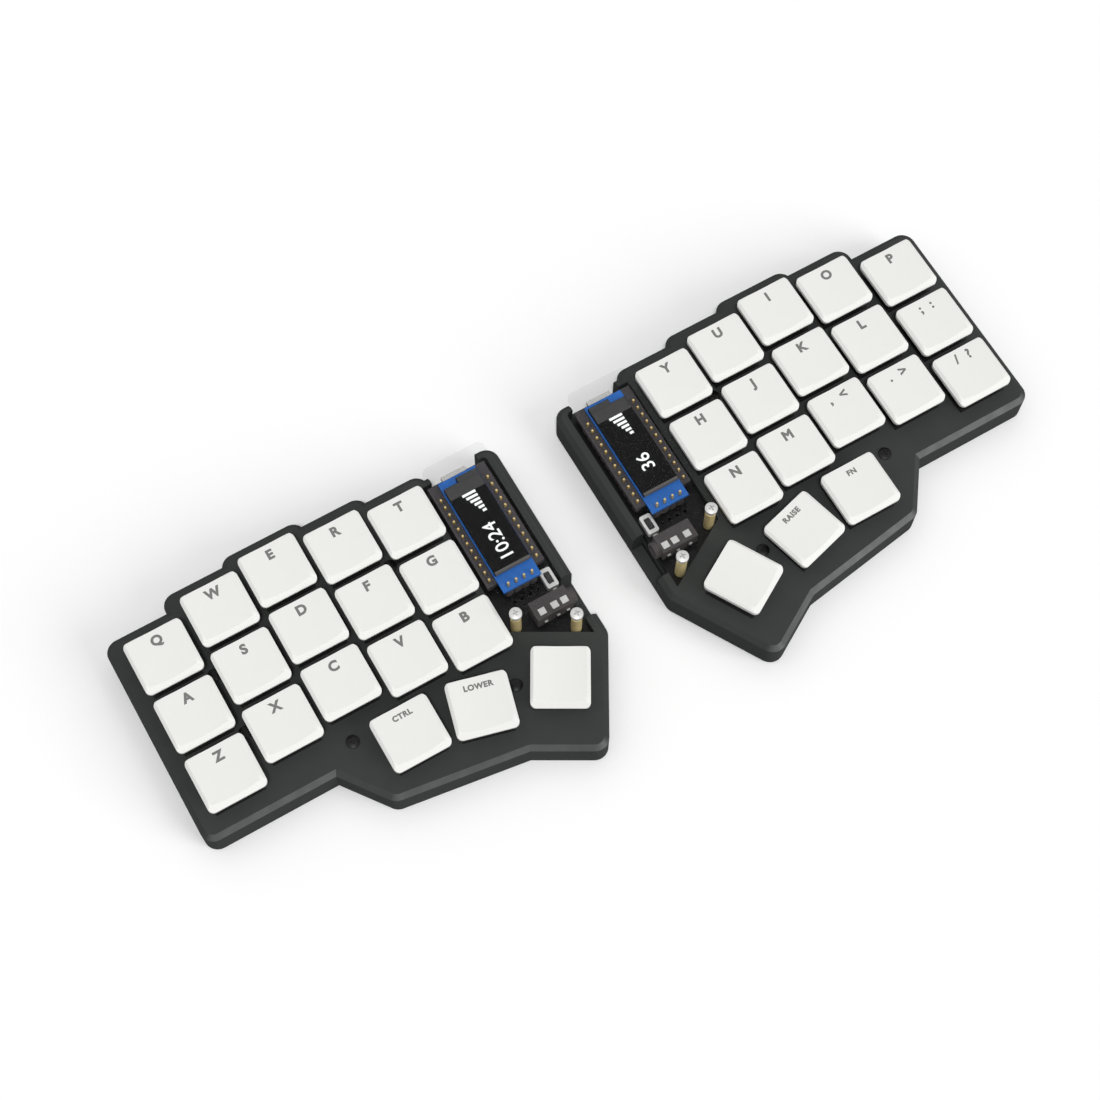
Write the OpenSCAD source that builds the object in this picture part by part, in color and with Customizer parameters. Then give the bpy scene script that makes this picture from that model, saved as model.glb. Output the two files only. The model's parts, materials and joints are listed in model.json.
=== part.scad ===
/* [Key grid] */
// Distance between the rows of one column
key_pitch = 19.05; // [18.6:0.05:20]
// Distance between neighbouring columns
column_pitch = 19.06; // [18.6:0.02:20]
// Extra room between the little-finger column and the next one
little_finger_gap = 0.5; // [0:0.1:2]
// How far back each column sits, from the little finger to the index finger
column_stagger = [0, 4.77, 7.17, 4.29, 1.93]; // [0:0.01:10]
// Places of the thumb keys, from the outer to the inner one
thumb_places = [[9.55, -33.96], [30.14, -36.66], [52.66, -40.36]]; // [-60:0.01:60]
// Turns of the thumb keys, from the outer to the inner one
thumb_turns = [0, -15, -30]; // [-45:1:10]

/* [Keycaps] */
// Width of a keycap, or depth of the inner thumb keycap
cap_width = 17.5; // [16.8:0.1:17.8]
// Depth of a keycap, or width of the inner thumb keycap
cap_depth = 16.5; // [16.2:0.1:17.4]
// Height of a keycap from its lower edge to its rim
cap_height = 2.23; // [2.1:0.01:3]
// Height of the lower edge of a keycap above the case
cap_lift = 4.7; // [4.6:0.1:6]
// Radius of a keycap's upright corners
cap_corner = 1.6; // [1:0.1:2.5]
// Thickness of a keycap's side walls
cap_wall = 1.1; // [0.9:0.05:1.2]
// Thickness of a keycap's roof under the deepest line of the dish
cap_roof = 0.8; // [0.6:0.05:0.9]
// Depth of the finger dish
dish_depth = 0.5; // [0.2:0.05:0.8]
// Radius of the finger dish
dish_radius = 64; // [45:1:90]
// Run of the front bevel
front_bevel_run = 1.8; // [1:0.1:2.5]
// Drop of the front bevel
front_bevel_drop = 1.5; // [0.8:0.1:1.6]
// Size of the bevel on the other three edges
rim_bevel = 0.8; // [0.4:0.1:1]
// Spacing of the two legs under a keycap
leg_spacing = 5.7; // [5.2:0.1:6]
// Size of a leg, across and along the key
leg_size = [1.2, 3]; // [1:0.1:3.4]
// Length of a leg
leg_length = 2.6; // [2:0.1:3]

/* [Switches] */
// Width of the housing below the plate
housing_width = 13.8; // [13:0.1:14.2]
// Width of the housing above its flange
cover_width = 13.4; // [12.8:0.1:13.6]
// Bevel on the upper edges of the housing
cover_bevel = 0.6; // [0.3:0.05:0.8]
// Width of the flange that rests on the plate
flange_width = 15; // [14.6:0.1:15.4]
// Thickness of the flange
flange_height = 0.8; // [0.5:0.1:1.2]
// Height of the housing above the plate
housing_rise = 2.4; // [2.2:0.1:2.5]
// Depth of the housing below the top of the plate
housing_depth = 2.2; // [2.2:0.1:2.6]
// Thickness of the floor of the housing
housing_floor = 0.3; // [0.2:0.05:0.4]
// Thickness of the lip that keeps the slider in
lip_height = 0.6; // [0.4:0.1:0.8]
// Width and depth of the slider
slider_size = [10.5, 4.6]; // [4:0.1:11]
// Reach of the slider's foot past its sides
foot_reach = 0.75; // [0.5:0.05:0.9]
// Height of the slider's foot
foot_height = 0.5; // [0.4:0.05:0.6]
// Gap between a keycap and its slider
press_gap = 0.05; // [0.02:0.01:0.1]
// Gap round the slider
slider_gap = 0.3; // [0.2:0.05:0.4]
// Diameter of the spring, over its wire
spring_width = 3.1; // [2.6:0.1:3.3]
// Diameter of the spring's wire
spring_wire = 0.3; // [0.2:0.05:0.4]
// Turns of the spring
spring_turns = 4; // [3:1:5]
// Diameter of the middle post and of the two side posts in the circuit board
post_widths = [3.4, 1.9]; // [1.5:0.1:3.6]
// Length of the posts below the housing
post_length = 2.6; // [2:0.1:2.8]
// Distance between the side posts
post_spacing = 11; // [10.6:0.1:11.4]

/* [Case] */
// Height of the case without its feet
case_height = 10; // [9.8:0.1:11]
// Thickness of the outer walls
wall = 3.5; // [3.2:0.1:3.6]
// Size of the sloped rim
rim_chamfer = 1.5; // [0.8:0.1:2]
// Thickness of the switch plate
plate_height = 1.2; // [1:0.1:1.5]
// Radius of the case corners
case_corner = 4; // [4:0.1:5]
// Distance from the little-finger keys to the outer side
side_margin = 13.53; // [13:0.05:15]
// Distance from the front little-finger key to the front edge
front_margin = 13.41; // [13:0.05:14.5]
// Distance from the rear key of each column to the rear edge
rear_margins = [13.95, 13.95, 13.82, 14.45, 14.31]; // [13.5:0.01:15]
// Distance from the last column to the end of its rear step
bay_step = 12.17; // [11.5:0.05:12.5]
// Distance from the last column to the rear edge behind the controller
bay_rear_margin = 12.07; // [11.8:0.01:12.6]
// How far the rear steps stand out from the gaps between the columns
step_shift = 3.5; // [2:0.1:4]
// Place of the front corner beside the outer thumb key, from that key
outer_thumb_corner = [-12.02, -12.93]; // [-16:0.01:-11.5]
// Turn of the edge that leads to that corner
outer_thumb_slope = -53.7; // [-60:0.1:-48]
// Distance from the middle thumb key to the edge in front of it
thumb_margin = 14.9; // [14.4:0.05:15.6]
// Turn of that edge
thumb_slope = -8.43; // [-12:0.01:-6]
// Distance from the inner thumb key to the edge in front of it
inner_thumb_margin = 18.85; // [18:0.05:20]
// Distance from the inner thumb key to the edge beside it
inner_thumb_side = 13.4; // [13:0.05:14]
// Distance from the last column to the inner side of the case
bay_side = 33.99; // [33.5:0.01:35]
// Height of the sill that the outer wall leaves under its notches
sill_height = 1.6; // [1.2:0.1:2]
// Height of the base above its underside
base_height = 3.2; // [2.4:0.1:3.4]
// Thickness of the base in the pocket under the keys
pocket_floor = 1.6; // [1.2:0.1:2]
// Distance from the middles of the outermost keys to the sides of that pocket
pocket_margin = 6; // [4:0.5:8]
// Gap round what fits in the case
case_gap = 0.2; // [0.1:0.05:0.3]
// Gap between the two halves
half_gap = 20.04; // [5:0.01:120]
// Diameter and height of a rubber foot
foot_size = [8, 1]; // [1:0.1:10]

/* [Circuit board] */
// Thickness of the circuit board
board_height = 1.6; // [1.4:0.1:1.6]
// Gap between the circuit board and the case walls
board_gap = 0.4; // [0.3:0.05:0.6]
// Gap round posts and pins in their holes
hole_gap = 0.1; // [0.05:0.01:0.15]
// Diameter of the spare holes
spare_width = 0.8; // [0.6:0.05:0.9]
// How far the spare holes lie from the inner row of pins, to the side and to the front
spare_shift = [0.9, -0.56]; // [-1.2:0.01:1.2]
// Distance from the display's pins to the spare holes in front of them
spare_front = 3.48; // [3:0.01:4]

/* [Controller bay] */
// Distance from the last column to the edge of the plate
bay_edge = 9.57; // [9.3:0.01:9.8]
// Distance from the inner thumb key to the slanted edge of the plate
bay_front = 15.32; // [15:0.01:15.6]
// Thickness of the rear wall behind the controller
bay_rear_wall = 2.5; // [2:0.1:3]
// Radius of the inner rear corner of the bay
bay_corner = 1.5; // [0.5:0.1:2]
// Width of the controller board
controller_width = 18.4; // [18:0.1:18.8]
// Length of the controller board
controller_length = 35.1; // [34.6:0.1:35.6]
// Thickness of the controller board
controller_height = 1.6; // [1.2:0.1:1.7]
// Distance from the inner wall to the middle of the controller board
controller_inset = 10.71; // [10.5:0.01:10.9]
// Distance from the rear wall to the controller board
controller_rear = 1.9; // [1.6:0.1:2.4]
// Pitch of the header pins
pin_pitch = 2.54; // [2.5:0.01:2.58]
// Pins in one row of the controller's headers
pin_count = 12; // [10:1:12]
// Distance between the two rows of pins
row_spacing = 15.24; // [15.2:0.01:15.3]
// Distance from the rear edge of the controller board to the first pin
first_pin = 5.34; // [5:0.01:5.6]
// Thickness of a pin
pin_width = 0.64; // [0.5:0.02:0.7]
// Bevel on the corners of the plastic round each pin
header_bevel = 0.4; // [0.2:0.05:0.6]
// Height of the header pins above the circuit board
pin_rise = 5.4; // [5:0.1:5.6]
// Length of the pins below the circuit board
pin_tail = 1; // [0.6:0.1:1.3]
// Width, length and height of the micro-USB socket
usb_size = [7.7, 5.6, 2.4]; // [2:0.1:8]
// How far the socket stands out behind the controller board
usb_overhang = 2.1; // [1.8:0.1:2.3]
// Thickness of the socket's sheet metal
usb_wall = 0.3; // [0.2:0.05:0.35]
// Bevel on the lower corners of the socket
usb_bevel = 0.8; // [0.5:0.05:1]
// Width, length and thickness of the tongue in the socket
tongue_size = [4, 3.9, 0.6]; // [0.4:0.1:4.4]
// Width of the cable notch behind the controller
usb_notch = 15.3; // [14:0.1:15.6]
// How far the middle of that notch lies from the middle of the controller board
usb_notch_shift = 0.84; // [0:0.01:1]
// Width and length of the display board
display_size = [12.1, 38.4]; // [11:0.1:39]
// Thickness of the display board
display_height = 1; // [0.8:0.1:1.2]
// Gap between the controller board and the display board
display_gap = 0.06; // [0.02:0.02:0.2]
// Distance from the rear edge of the controller board to the display board
display_rear = 0.5; // [0.2:0.1:1]
// Distance from the front edge of the display board to its pins
display_pin_inset = 1.43; // [1.35:0.01:1.6]
// Pins of the display
display_pins = 4; // [4:1:5]
// Height of the display's pins above its board
display_pin_rise = 2.1; // [1.6:0.1:2.4]
// Width, length and thickness of the display glass
glass_size = [11.4, 31.6, 1.6]; // [1.2:0.1:33]
// Distance from the rear edge of the display board to the glass
glass_rear = 1.4; // [0.8:0.1:1.6]
// Notch in the rear corner of the glass
glass_notch = [4.7, 1.6]; // [1:0.1:5]

/* [Link jack] */
// Length, width and height of the jack
jack_size = [11.5, 5.98, 5.05]; // [5:0.01:12]
// Distance from the home row to the middle of the jack
jack_place = -19.22; // [-19.6:0.01:-19]
// Distance from the inner wall to the front of the jack
jack_inset = 1.08; // [1:0.01:1.3]
// Diameter of the jack's barrel
barrel_width = 5; // [4.6:0.1:5]
// Length of the jack's barrel
barrel_length = 1.76; // [1.4:0.01:2.4]
// Diameter of the jack's bore
jack_bore = 3.6; // [3.5:0.05:3.8]
// Depth of the jack's bore from the end of the barrel
jack_depth = 11.5; // [10:0.1:12]
// Size of the contact windows in the jack
window_size = 2.1; // [1.8:0.1:2.2]
// Distances from the front of the jack to its contact windows
window_places = [0.84, 3.94, 7.94]; // [0.5:0.01:8.6]
// How far the contact windows lie in front of the jack's middle
window_shift = 0.93; // [0.6:0.01:1.2]
// Width, depth and height of the notches at the jack's feet
foot_notch = [1.4, 0.8, 2]; // [0.6:0.1:2.2]
// Width of the plug notch in the inner wall
jack_notch = 13.7; // [13:0.1:14.4]
// How far the middle of the plug notch lies in front of the jack
notch_shift = 0.83; // [0:0.01:1.2]

/* [Reset switch] */
// Width, length and height of the switch frame
reset_size = [3.62, 6.2, 2.4]; // [2:0.01:6.6]
// Distance from the inner wall to the switch frame
reset_inset = 1.19; // [0.9:0.01:1.4]
// Distance from the home row to the middle of the switch
reset_place = -11.4; // [-11.6:0.1:-11]
// Bevel on the corners of the switch frame
reset_bevel = 0.45; // [0.2:0.05:0.6]
// Width, reach and height of the solder lugs at the ends of the frame
reset_lug = [1.1, 0.7, 0.7]; // [0.4:0.1:1.4]
// Width and length of the button
reset_button = [1.5, 3.3]; // [1.2:0.1:3.6]
// Height of the button above the frame
reset_rise = 0.54; // [0.4:0.02:0.8]
// Travel of the button
reset_travel = 0.25; // [0.15:0.01:0.3]
// Gap round the button
reset_gap = 0.1; // [0.05:0.01:0.15]

/* [Display cover] */
// Thickness of the clear cover
cover_height = 1.5; // [1:0.1:2]
// Height of the standoffs above the circuit board
standoff_height = 9.25; // [9:0.05:11]
// Diameter of a standoff
standoff_width = 3.1; // [2.8:0.05:3.2]
// Distance from the slanted plate edge to the middle of the standoffs
standoff_inset = 1.85; // [1.8:0.01:2]
// Distances from the inner wall to the two standoffs
standoff_places = [18.05, 3.48]; // [3.2:0.01:18.4]
// Distance from the standoffs to the front edge of the cover
cover_front = 3; // [2.4:0.1:3.4]
// Distance from the plate edge to the side of the cover
cover_side = 0.8; // [0.5:0.1:1.2]
// Distance from the inner wall to the other side of the cover
cover_inner = 0.38; // [0.2:0.02:0.8]
// How far the cover reaches past the rear wall of the bay
cover_rear = 1.4; // [0.8:0.1:2]
// Radius of the rear corners of the cover
cover_corner = 2; // [1:0.1:3]

/* [Fasteners] */
// Diameter of the case screws and cover screws
screw_width = 2; // [1.8:0.1:2.2]
// Gap round a screw in its hole
screw_gap = 0.1; // [0.05:0.01:0.2]
// Diameter and height of a case screw's head
case_head = [3.8, 0.7]; // [0.5:0.1:4]
// Height of the upright side of that head
case_head_side = 0.35; // [0.2:0.05:0.45]
// Length of a case screw below its head
case_screw_length = 6; // [5.4:0.1:7]
// Diameter and height of a cover screw's head
cover_head = [3.6, 1.6]; // [1:0.1:4.4]
// Height of the upright side of that head
cover_head_side = 1.2; // [0.8:0.1:1.3]
// Length of a cover screw below its head
cover_screw_length = 5; // [4:0.5:6]
// Width of the drive recess in a screw head
drive_width = 1.7; // [1.4:0.1:2]
// Place of the front case screw, from the outer thumb key
front_screw = [-14.23, 7.46]; // [-16:0.01:10]
// Distance of a case screw behind the middle of the two inner thumb keys
thumb_screw = 4.05; // [3:0.05:5]
// Diameter of the screw bosses in the base
boss_width = 5; // [4.6:0.1:5.2]

/* [Hidden] */
$fn = 48;
arc_steps = 8;
wire_sides = 3;
rings_per_turn = 6;
rim_softness = 0.4;
rim_overlap = 0.5;
tip_foot_reach = 1.6;
past = 1;

key_rows = [["key_q", "key_w", "key_e", "key_r", "key_t"],
            ["key_a", "key_s", "key_d", "key_f", "key_g"],
            ["key_z", "key_x", "key_c", "key_v", "key_b"]];
mirror_rows = [["key_p", "key_o", "key_i", "key_u", "key_y"],
               ["key_semicolon", "key_l", "key_k", "key_j", "key_h"],
               ["key_slash", "key_period", "key_comma", "key_m", "key_n"]];
thumb_names = ["outer_thumb_key", "middle_thumb_key", "inner_thumb_key"];

columns = [for (i = [0 : 4]) (i - 2) * column_pitch - (i == 0 ? little_finger_gap : 0)];
grid_places = [for (row = [0 : 2], i = [0 : 4])
    [columns[i], column_stagger[i] + (1 - row) * key_pitch, 0]];
thumb_keys = [for (i = [0 : 2]) [thumb_places[i][0], thumb_places[i][1], thumb_turns[i]]];
places = concat(grid_places, thumb_keys);
left_names = concat([for (row = key_rows, name = row) name],
    [for (name = thumb_names) str("left_", name)]);
right_names = concat([for (row = mirror_rows, name = row) name],
    [for (name = thumb_names) str("right_", name)]);

base_bottom = foot_size[1];
sill_top = base_bottom + sill_height;
base_top = base_bottom + base_height;
pocket_bottom = base_bottom + pocket_floor;
case_top = base_bottom + case_height;
plate_bottom = case_top - plate_height;
board_top = case_top - housing_depth;
board_bottom = board_top - board_height;
cap_bottom = case_top + cap_lift;
cap_top = cap_bottom + cap_height;
cap_ceiling = cap_top - dish_depth - cap_roof;
housing_top = case_top + housing_rise;
chamber_top = housing_top - lip_height;
chamber_bottom = board_top + housing_floor;
stop_gap = 0.1;
slider_bottom = chamber_top - stop_gap - foot_height;
spring_bore = spring_width + 2 * slider_gap;
leg_bottom = cap_ceiling - leg_length;
spring_top = leg_bottom - cap_roof / 2;
cutout = housing_width + 2 * case_gap;
pin_hole = (pin_width + 2 * hole_gap) * [1, 1];

function unit(a) = [cos(a), sin(a)];
function left_of(d) = [-d[1], d[0]];
function heading(a, b) = (b - a) / norm(b - a);
function crossing(p, a, q, b) = p + unit(a) * ((q - p) * left_of(unit(b))) / (unit(a) * left_of(unit(b)));
function corner_push(a, b) = (left_of(a) + left_of(b)) / (1 + left_of(a) * left_of(b));
function arc(centre, r, from, to, steps) =
    [for (i = [0 : steps]) centre + r * unit(from + (to - from) * i / steps)];
function rounded(p, a, b, r, inset) = arc(p + r * corner_push(a, b), r - inset,
    atan2(a[1], a[0]) - 90, atan2(a[1], a[0]) - 90 + acos(min(1, a * b)), arc_steps);

side_x = columns[0] - side_margin;
inner_x = columns[4] + bay_side;
front_y = column_stagger[0] - key_pitch - front_margin;
rear_y = [for (i = [0 : 4]) column_stagger[i] + key_pitch + rear_margins[i]];
bay_rear_y = column_stagger[4] + key_pitch + bay_rear_margin;
tilt = thumb_turns[2];
tip_front = thumb_places[2] - inner_thumb_margin * unit(tilt + 90);
tip_side = thumb_places[2] + inner_thumb_side * unit(tilt);
thumb_edge = thumb_places[1] - thumb_margin * unit(thumb_slope + 90);
outer_corner = crossing(thumb_places[0] + outer_thumb_corner, outer_thumb_slope, thumb_edge, thumb_slope);
front_corners = [[side_x, rear_y[0]],
    [side_x, front_y],
    crossing(outer_corner, outer_thumb_slope, [0, front_y], 0),
    outer_corner,
    crossing(thumb_edge, thumb_slope, tip_front, tilt),
    crossing(tip_front, tilt, tip_side, tilt + 90),
    crossing(tip_side, tilt + 90, [inner_x, 0], 90),
    [inner_x, bay_rear_y]];

function front_corner(i, inset) =
    let (p = front_corners[i])
    let (a = i == 0 ? [-1, 0] : heading(front_corners[i - 1], p))
    let (b = i == len(front_corners) - 1 ? [-1, 0] : heading(p, front_corners[i + 1]))
    a * left_of(b) < 0 ? rounded(p, a, b, case_corner, inset) : [p + inset * corner_push(a, b)];
function step_corner(low, high, inset) =
    let (r = case_corner - inset, fall = case_corner - inset - high + low)
    fall < -case_gap ? concat([[r, low - inset]], arc([0, high - case_corner], r, 0, 90, arc_steps - 1))
        : arc([0, high - case_corner], r, asin(max(0, fall / r)), 90, arc_steps);
function rear_step(x, low, high, inset, side) =
    [for (p = step_corner(low, high, inset)) [x + side * (p[0] - case_corner), p[1]]];
function reversed(points) = [for (i = [len(points) - 1 : -1 : 0]) points[i]];
function gap_middle(i) = (columns[i] + columns[i + 1]) / 2;
function outline(inset) = concat(
    [for (i = [0 : len(front_corners) - 1], p = front_corner(i, inset)) p],
    rear_step(columns[4] + bay_step, bay_rear_y, rear_y[4], inset, 1),
    rear_step(gap_middle(3) + step_shift, rear_y[4], rear_y[3], inset, 1),
    rear_step(gap_middle(2) + step_shift, rear_y[3], rear_y[2], inset, 1),
    reversed(rear_step(gap_middle(1) - step_shift, rear_y[1], rear_y[2], inset, -1)),
    reversed(rear_step(gap_middle(0) - step_shift, rear_y[0], rear_y[1], inset, -1)));

outline_y = [for (p = outline(0)) p[1]];
half_shift = inner_x + half_gap / 2;
depth_middle = (min(outline_y) + max(outline_y)) / 2;

bay_x = [columns[4] + bay_edge, inner_x - wall];
bay_rear = bay_rear_y - bay_rear_wall;
bay_line = thumb_places[2] + bay_front * unit(tilt + 90);
controller_x = bay_x[1] - controller_inset;
controller_y = bay_rear - controller_rear;
controller_bottom = board_top + pin_pitch;
controller_top = controller_bottom + controller_height;
header_rows = [controller_x - row_spacing / 2, controller_x + row_spacing / 2];
display_y = controller_y - display_rear;
display_bottom = controller_top + display_gap;
display_top = display_bottom + display_height;
display_pin_y = display_y - display_size[1] + display_pin_inset;
jack_x = bay_x[1] - jack_inset;
jack_z = board_top + barrel_width / 2;
reset_x = bay_x[1] - reset_inset - reset_size[0] / 2;
reset_top = board_top + reset_size[2];
standoff_line = bay_line + standoff_inset * unit(tilt + 90);
standoffs_xy = [for (d = standoff_places) crossing(standoff_line, tilt, [bay_x[1] - d, 0], 90)];
cover_bottom = board_top + standoff_height;
cover_top = cover_bottom + cover_height;
stud_width = screw_width - 2 * screw_gap;
screws_xy = [[gap_middle(0), column_stagger[0] + key_pitch / 2],
    [gap_middle(0), column_stagger[0] - key_pitch / 2],
    [gap_middle(3), column_stagger[3] + key_pitch / 2],
    thumb_places[0] + front_screw,
    (thumb_places[1] + thumb_places[2]) / 2 + thumb_screw * unit(thumb_turns[1] / 2 + 90)];
feet_xy = [[side_x + foot_size[0], rear_y[0] - foot_size[0]],
    [side_x + foot_size[0], front_y + foot_size[0]],
    [inner_x - foot_size[0], bay_rear_y - foot_size[0]],
    front_corners[5] + tip_foot_reach * foot_size[0] * unit(tilt + 120)];

fixed_nodes = ["left_top_case", "right_top_case", "left_bottom_case", "right_bottom_case",
    "left_circuit_board", "right_circuit_board", "left_controller_board", "right_controller_board",
    "left_reset_button", "right_reset_button", "display_boards", "display_glasses", "display_covers",
    "link_jacks", "reset_switches", "switch_housings", "switch_springs", "pin_headers", "header_pins",
    "usb_sockets", "standoffs", "cover_screws", "case_screws", "rubber_feet"];

module left_half() {
    translate([-half_shift, -depth_middle, 0]) children();
}

module right_half() {
    mirror([1, 0, 0]) left_half() children();
}

module both_halves() {
    left_half() children();
    right_half() children();
}

module at_key(place) {
    translate([place[0], place[1], 0]) rotate([0, 0, place[2]]) children();
}

module slab(bottom, top) {
    translate([0, 0, bottom]) linear_extrude(top - bottom) children();
}

module post(bottom, top, width) {
    translate([0, 0, bottom]) cylinder(h = top - bottom, d = width);
}

module block(size, bottom, top) {
    slab(bottom, top) square(size, center = true);
}

module rounded_square(width, depth, r) {
    square([width - 2 * r, depth], center = true);
    square([width, depth - 2 * r], center = true);
    for (x = [-1, 1], y = [-1, 1])
        translate([x * (width / 2 - r), y * (depth / 2 - r)]) circle(r);
}

module sloped_rim(bottom, top, inset) {
    low = outline(0);
    high = outline(inset);
    n = len(low);
    points = concat([for (p = low) [p[0], p[1], bottom]],
        [for (p = high) [p[0], p[1], top]],
        [for (p = outline(inset + rim_overlap)) [p[0], p[1], bottom]]);
    faces = [for (ring = [0 : 2], i = [0 : n - 1])
        let (a = ring * n + i, b = ring * n + (i + 1) % n)
        let (c = (ring + 1) % 3 * n + i, d = (ring + 1) % 3 * n + (i + 1) % n)
        each [[a, c, b], [b, c, d]]];
    polyhedron(points, faces);
    slab(bottom, top) polygon(high);
}

module bay_area() {
    polygon(concat([[bay_x[0], bay_rear]],
        arc([bay_x[1] - bay_corner, bay_rear - bay_corner], bay_corner, 90, 0, arc_steps),
        [crossing(bay_line, tilt, [bay_x[1], 0], 90), crossing(bay_line, tilt, [bay_x[0], 0], 90)]));
}

module drive_cross(top, depth) {
    for (a = [0, 90])
        rotate([0, 0, a]) block([drive_width, drive_width / 4], top - depth, top + past);
}

module top_case() {
    color("#3a3c3b") difference() {
        union() {
            difference() {
                union() {
                    slab(base_bottom, case_top - rim_chamfer) polygon(outline(0));
                    sloped_rim(case_top - rim_chamfer, case_top, rim_chamfer);
                }
                slab(base_bottom - past, plate_bottom) polygon(outline(wall));
                slab(base_bottom - past, case_top + past) bay_area();
            }
            for (p = screws_xy)
                translate(p) post(board_top, plate_bottom + plate_height / 2, boss_width);
        }
        for (p = places)
            at_key(p) block([cutout, cutout], plate_bottom - past, case_top + past);
        for (p = screws_xy)
            translate(p) post(board_top - past, case_top + past, screw_width + 2 * screw_gap);
        translate([controller_x + usb_notch_shift, bay_rear, 0])
            slab(sill_top, case_top + past) translate([-usb_notch / 2, -past]) square([usb_notch, 2 * wall]);
        translate([bay_x[1] - past, jack_place - notch_shift - jack_notch / 2, 0])
            slab(sill_top, case_top + past) square([wall + 2 * past, jack_notch]);
    }
}

module bottom_case() {
    pocket_x = [columns[0] - pocket_margin, columns[4] + pocket_margin];
    pocket_y = [column_stagger[0] - key_pitch - pocket_margin, column_stagger[0] + key_pitch + pocket_margin];
    color("#2e302f") difference() {
        union() {
            difference() {
                slab(base_bottom, base_top) polygon(outline(wall + case_gap));
                translate([pocket_x[0], pocket_y[0], pocket_bottom])
                    cube([pocket_x[1] - pocket_x[0], pocket_y[1] - pocket_y[0], base_height]);
            }
            for (p = screws_xy)
                translate(p) post(pocket_bottom - pocket_floor / 2, board_bottom, boss_width);
        }
        for (p = screws_xy)
            translate(p) post(case_top - case_screw_length - past / 2, case_top, screw_width + screw_gap);
    }
}

module circuit_board() {
    color("#1e1e1e") difference() {
        slab(board_bottom, board_top) polygon(outline(wall + board_gap));
        for (p = places)
            at_key(p) switch_posts(board_bottom - past, board_top + past, hole_gap);
        for (p = screws_xy)
            translate(p) post(board_bottom - past, board_top + past, screw_width + 2 * screw_gap);
        for (p = standoffs_xy)
            translate(p) post(board_bottom - past, board_top + past, stud_width + 2 * hole_gap);
        pin_places() block(pin_hole, board_bottom - past, board_top + past);
        spare_places() post(board_bottom - past, board_top + past, spare_width);
    }
}

module spare_places() {
    x = header_rows[1] + spare_shift[0];
    y = controller_y - first_pin + spare_shift[1];
    for (i = [0 : pin_count - 1])
        translate([x, y - i * pin_pitch, 0]) children();
    translate([0, -spare_front, 0]) display_pin_places() children();
}

module switch_posts(bottom, top, gap) {
    post(bottom, top, post_widths[0] + 2 * gap);
    for (x = [-1, 1])
        translate([x * post_spacing / 2, 0, 0]) post(bottom, top, post_widths[1] + 2 * gap);
}

module housing_cover(bottom, top) {
    half = cover_width / 2;
    profile = [[-half, bottom], [half, bottom], [half, top - cover_bevel], [half - cover_bevel, top],
        [cover_bevel - half, top], [-half, top - cover_bevel]];
    intersection() {
        rotate([90, 0, 0]) linear_extrude(cover_width, center = true) polygon(profile);
        rotate([90, 0, 90]) linear_extrude(cover_width, center = true) polygon(profile);
    }
}

module switch_housing() {
    opening = slider_size + 2 * slider_gap * [1, 1];
    difference() {
        union() {
            block([housing_width, housing_width], board_top, case_top + flange_height / 2);
            block([flange_width, flange_width], case_top, case_top + flange_height);
            housing_cover(case_top + flange_height / 2, housing_top);
            switch_posts(board_top - post_length, board_top + housing_floor / 2, 0);
        }
        block(opening, chamber_bottom, housing_top + past);
        block(opening + [2 * foot_reach, 0], chamber_bottom, chamber_top);
    }
}

module switch_housings() {
    color("#161616") both_halves() for (p = places) at_key(p) switch_housing();
}

module coil(bottom, top) {
    radius = (spring_width - spring_wire) / 2;
    wire = spring_wire / 2;
    rise = top - bottom - spring_wire;
    rings = spring_turns * rings_per_turn;
    n = wire_sides;
    points = [for (i = [0 : rings], k = [0 : n - 1])
        let (turn = 360 * i / rings_per_turn, side = 360 * k / n)
        let (out = radius + wire * cos(side))
        [out * cos(turn), out * sin(turn), bottom + wire + rise * i / rings + wire * sin(side)]];
    sides = [for (i = [0 : rings - 1], k = [0 : n - 1])
        let (a = i * n + k, b = i * n + (k + 1) % n)
        each [[a, a + n, b], [b, a + n, b + n]]];
    ends = [[for (k = [0 : n - 1]) k], [for (k = [0 : n - 1]) rings * n + n - 1 - k]];
    polyhedron(points, concat(ends, sides));
}

module switch_springs() {
    color("#c9c3b4") both_halves() for (p = places)
        at_key(p) coil(chamber_bottom + hole_gap, spring_top - hole_gap);
}

module cap_form(size) {
    half_w = size[0] / 2;
    half_d = size[1] / 2;
    soft = rim_softness * rim_bevel;
    intersection() {
        slab(cap_bottom, cap_top) rounded_square(size[0], size[1], cap_corner);
        rotate([90, 0, 0]) linear_extrude(2 * size[1], center = true)
            polygon([[-half_w, cap_bottom - past], [half_w, cap_bottom - past],
                [half_w, cap_top - rim_bevel], [half_w - soft, cap_top - soft],
                [half_w - rim_bevel, cap_top], [rim_bevel - half_w, cap_top],
                [soft - half_w, cap_top - soft], [-half_w, cap_top - rim_bevel]]);
        rotate([90, 0, 90]) linear_extrude(2 * size[0], center = true)
            polygon([[-half_d, cap_bottom - past], [half_d, cap_bottom - past],
                [half_d, cap_top - rim_bevel], [half_d - soft, cap_top - soft],
                [half_d - rim_bevel, cap_top], [front_bevel_run - half_d, cap_top],
                [-half_d, cap_top - front_bevel_drop]]);
    }
}

module keycap(size) {
    color("#ececea") {
        difference() {
            cap_form(size);
            translate([0, 0, cap_top - dish_depth + dish_radius]) rotate([90, 0, 0])
                cylinder(h = 2 * size[1], r = dish_radius, center = true, $fn = 180);
            slab(cap_bottom - past, cap_ceiling)
                rounded_square(size[0] - 2 * cap_wall, size[1] - 2 * cap_wall, cap_corner - cap_wall);
        }
        for (x = [-1, 1])
            translate([x * leg_spacing / 2, 0, 0])
                block(leg_size, leg_bottom, cap_ceiling + cap_roof / 2);
    }
}

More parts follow.
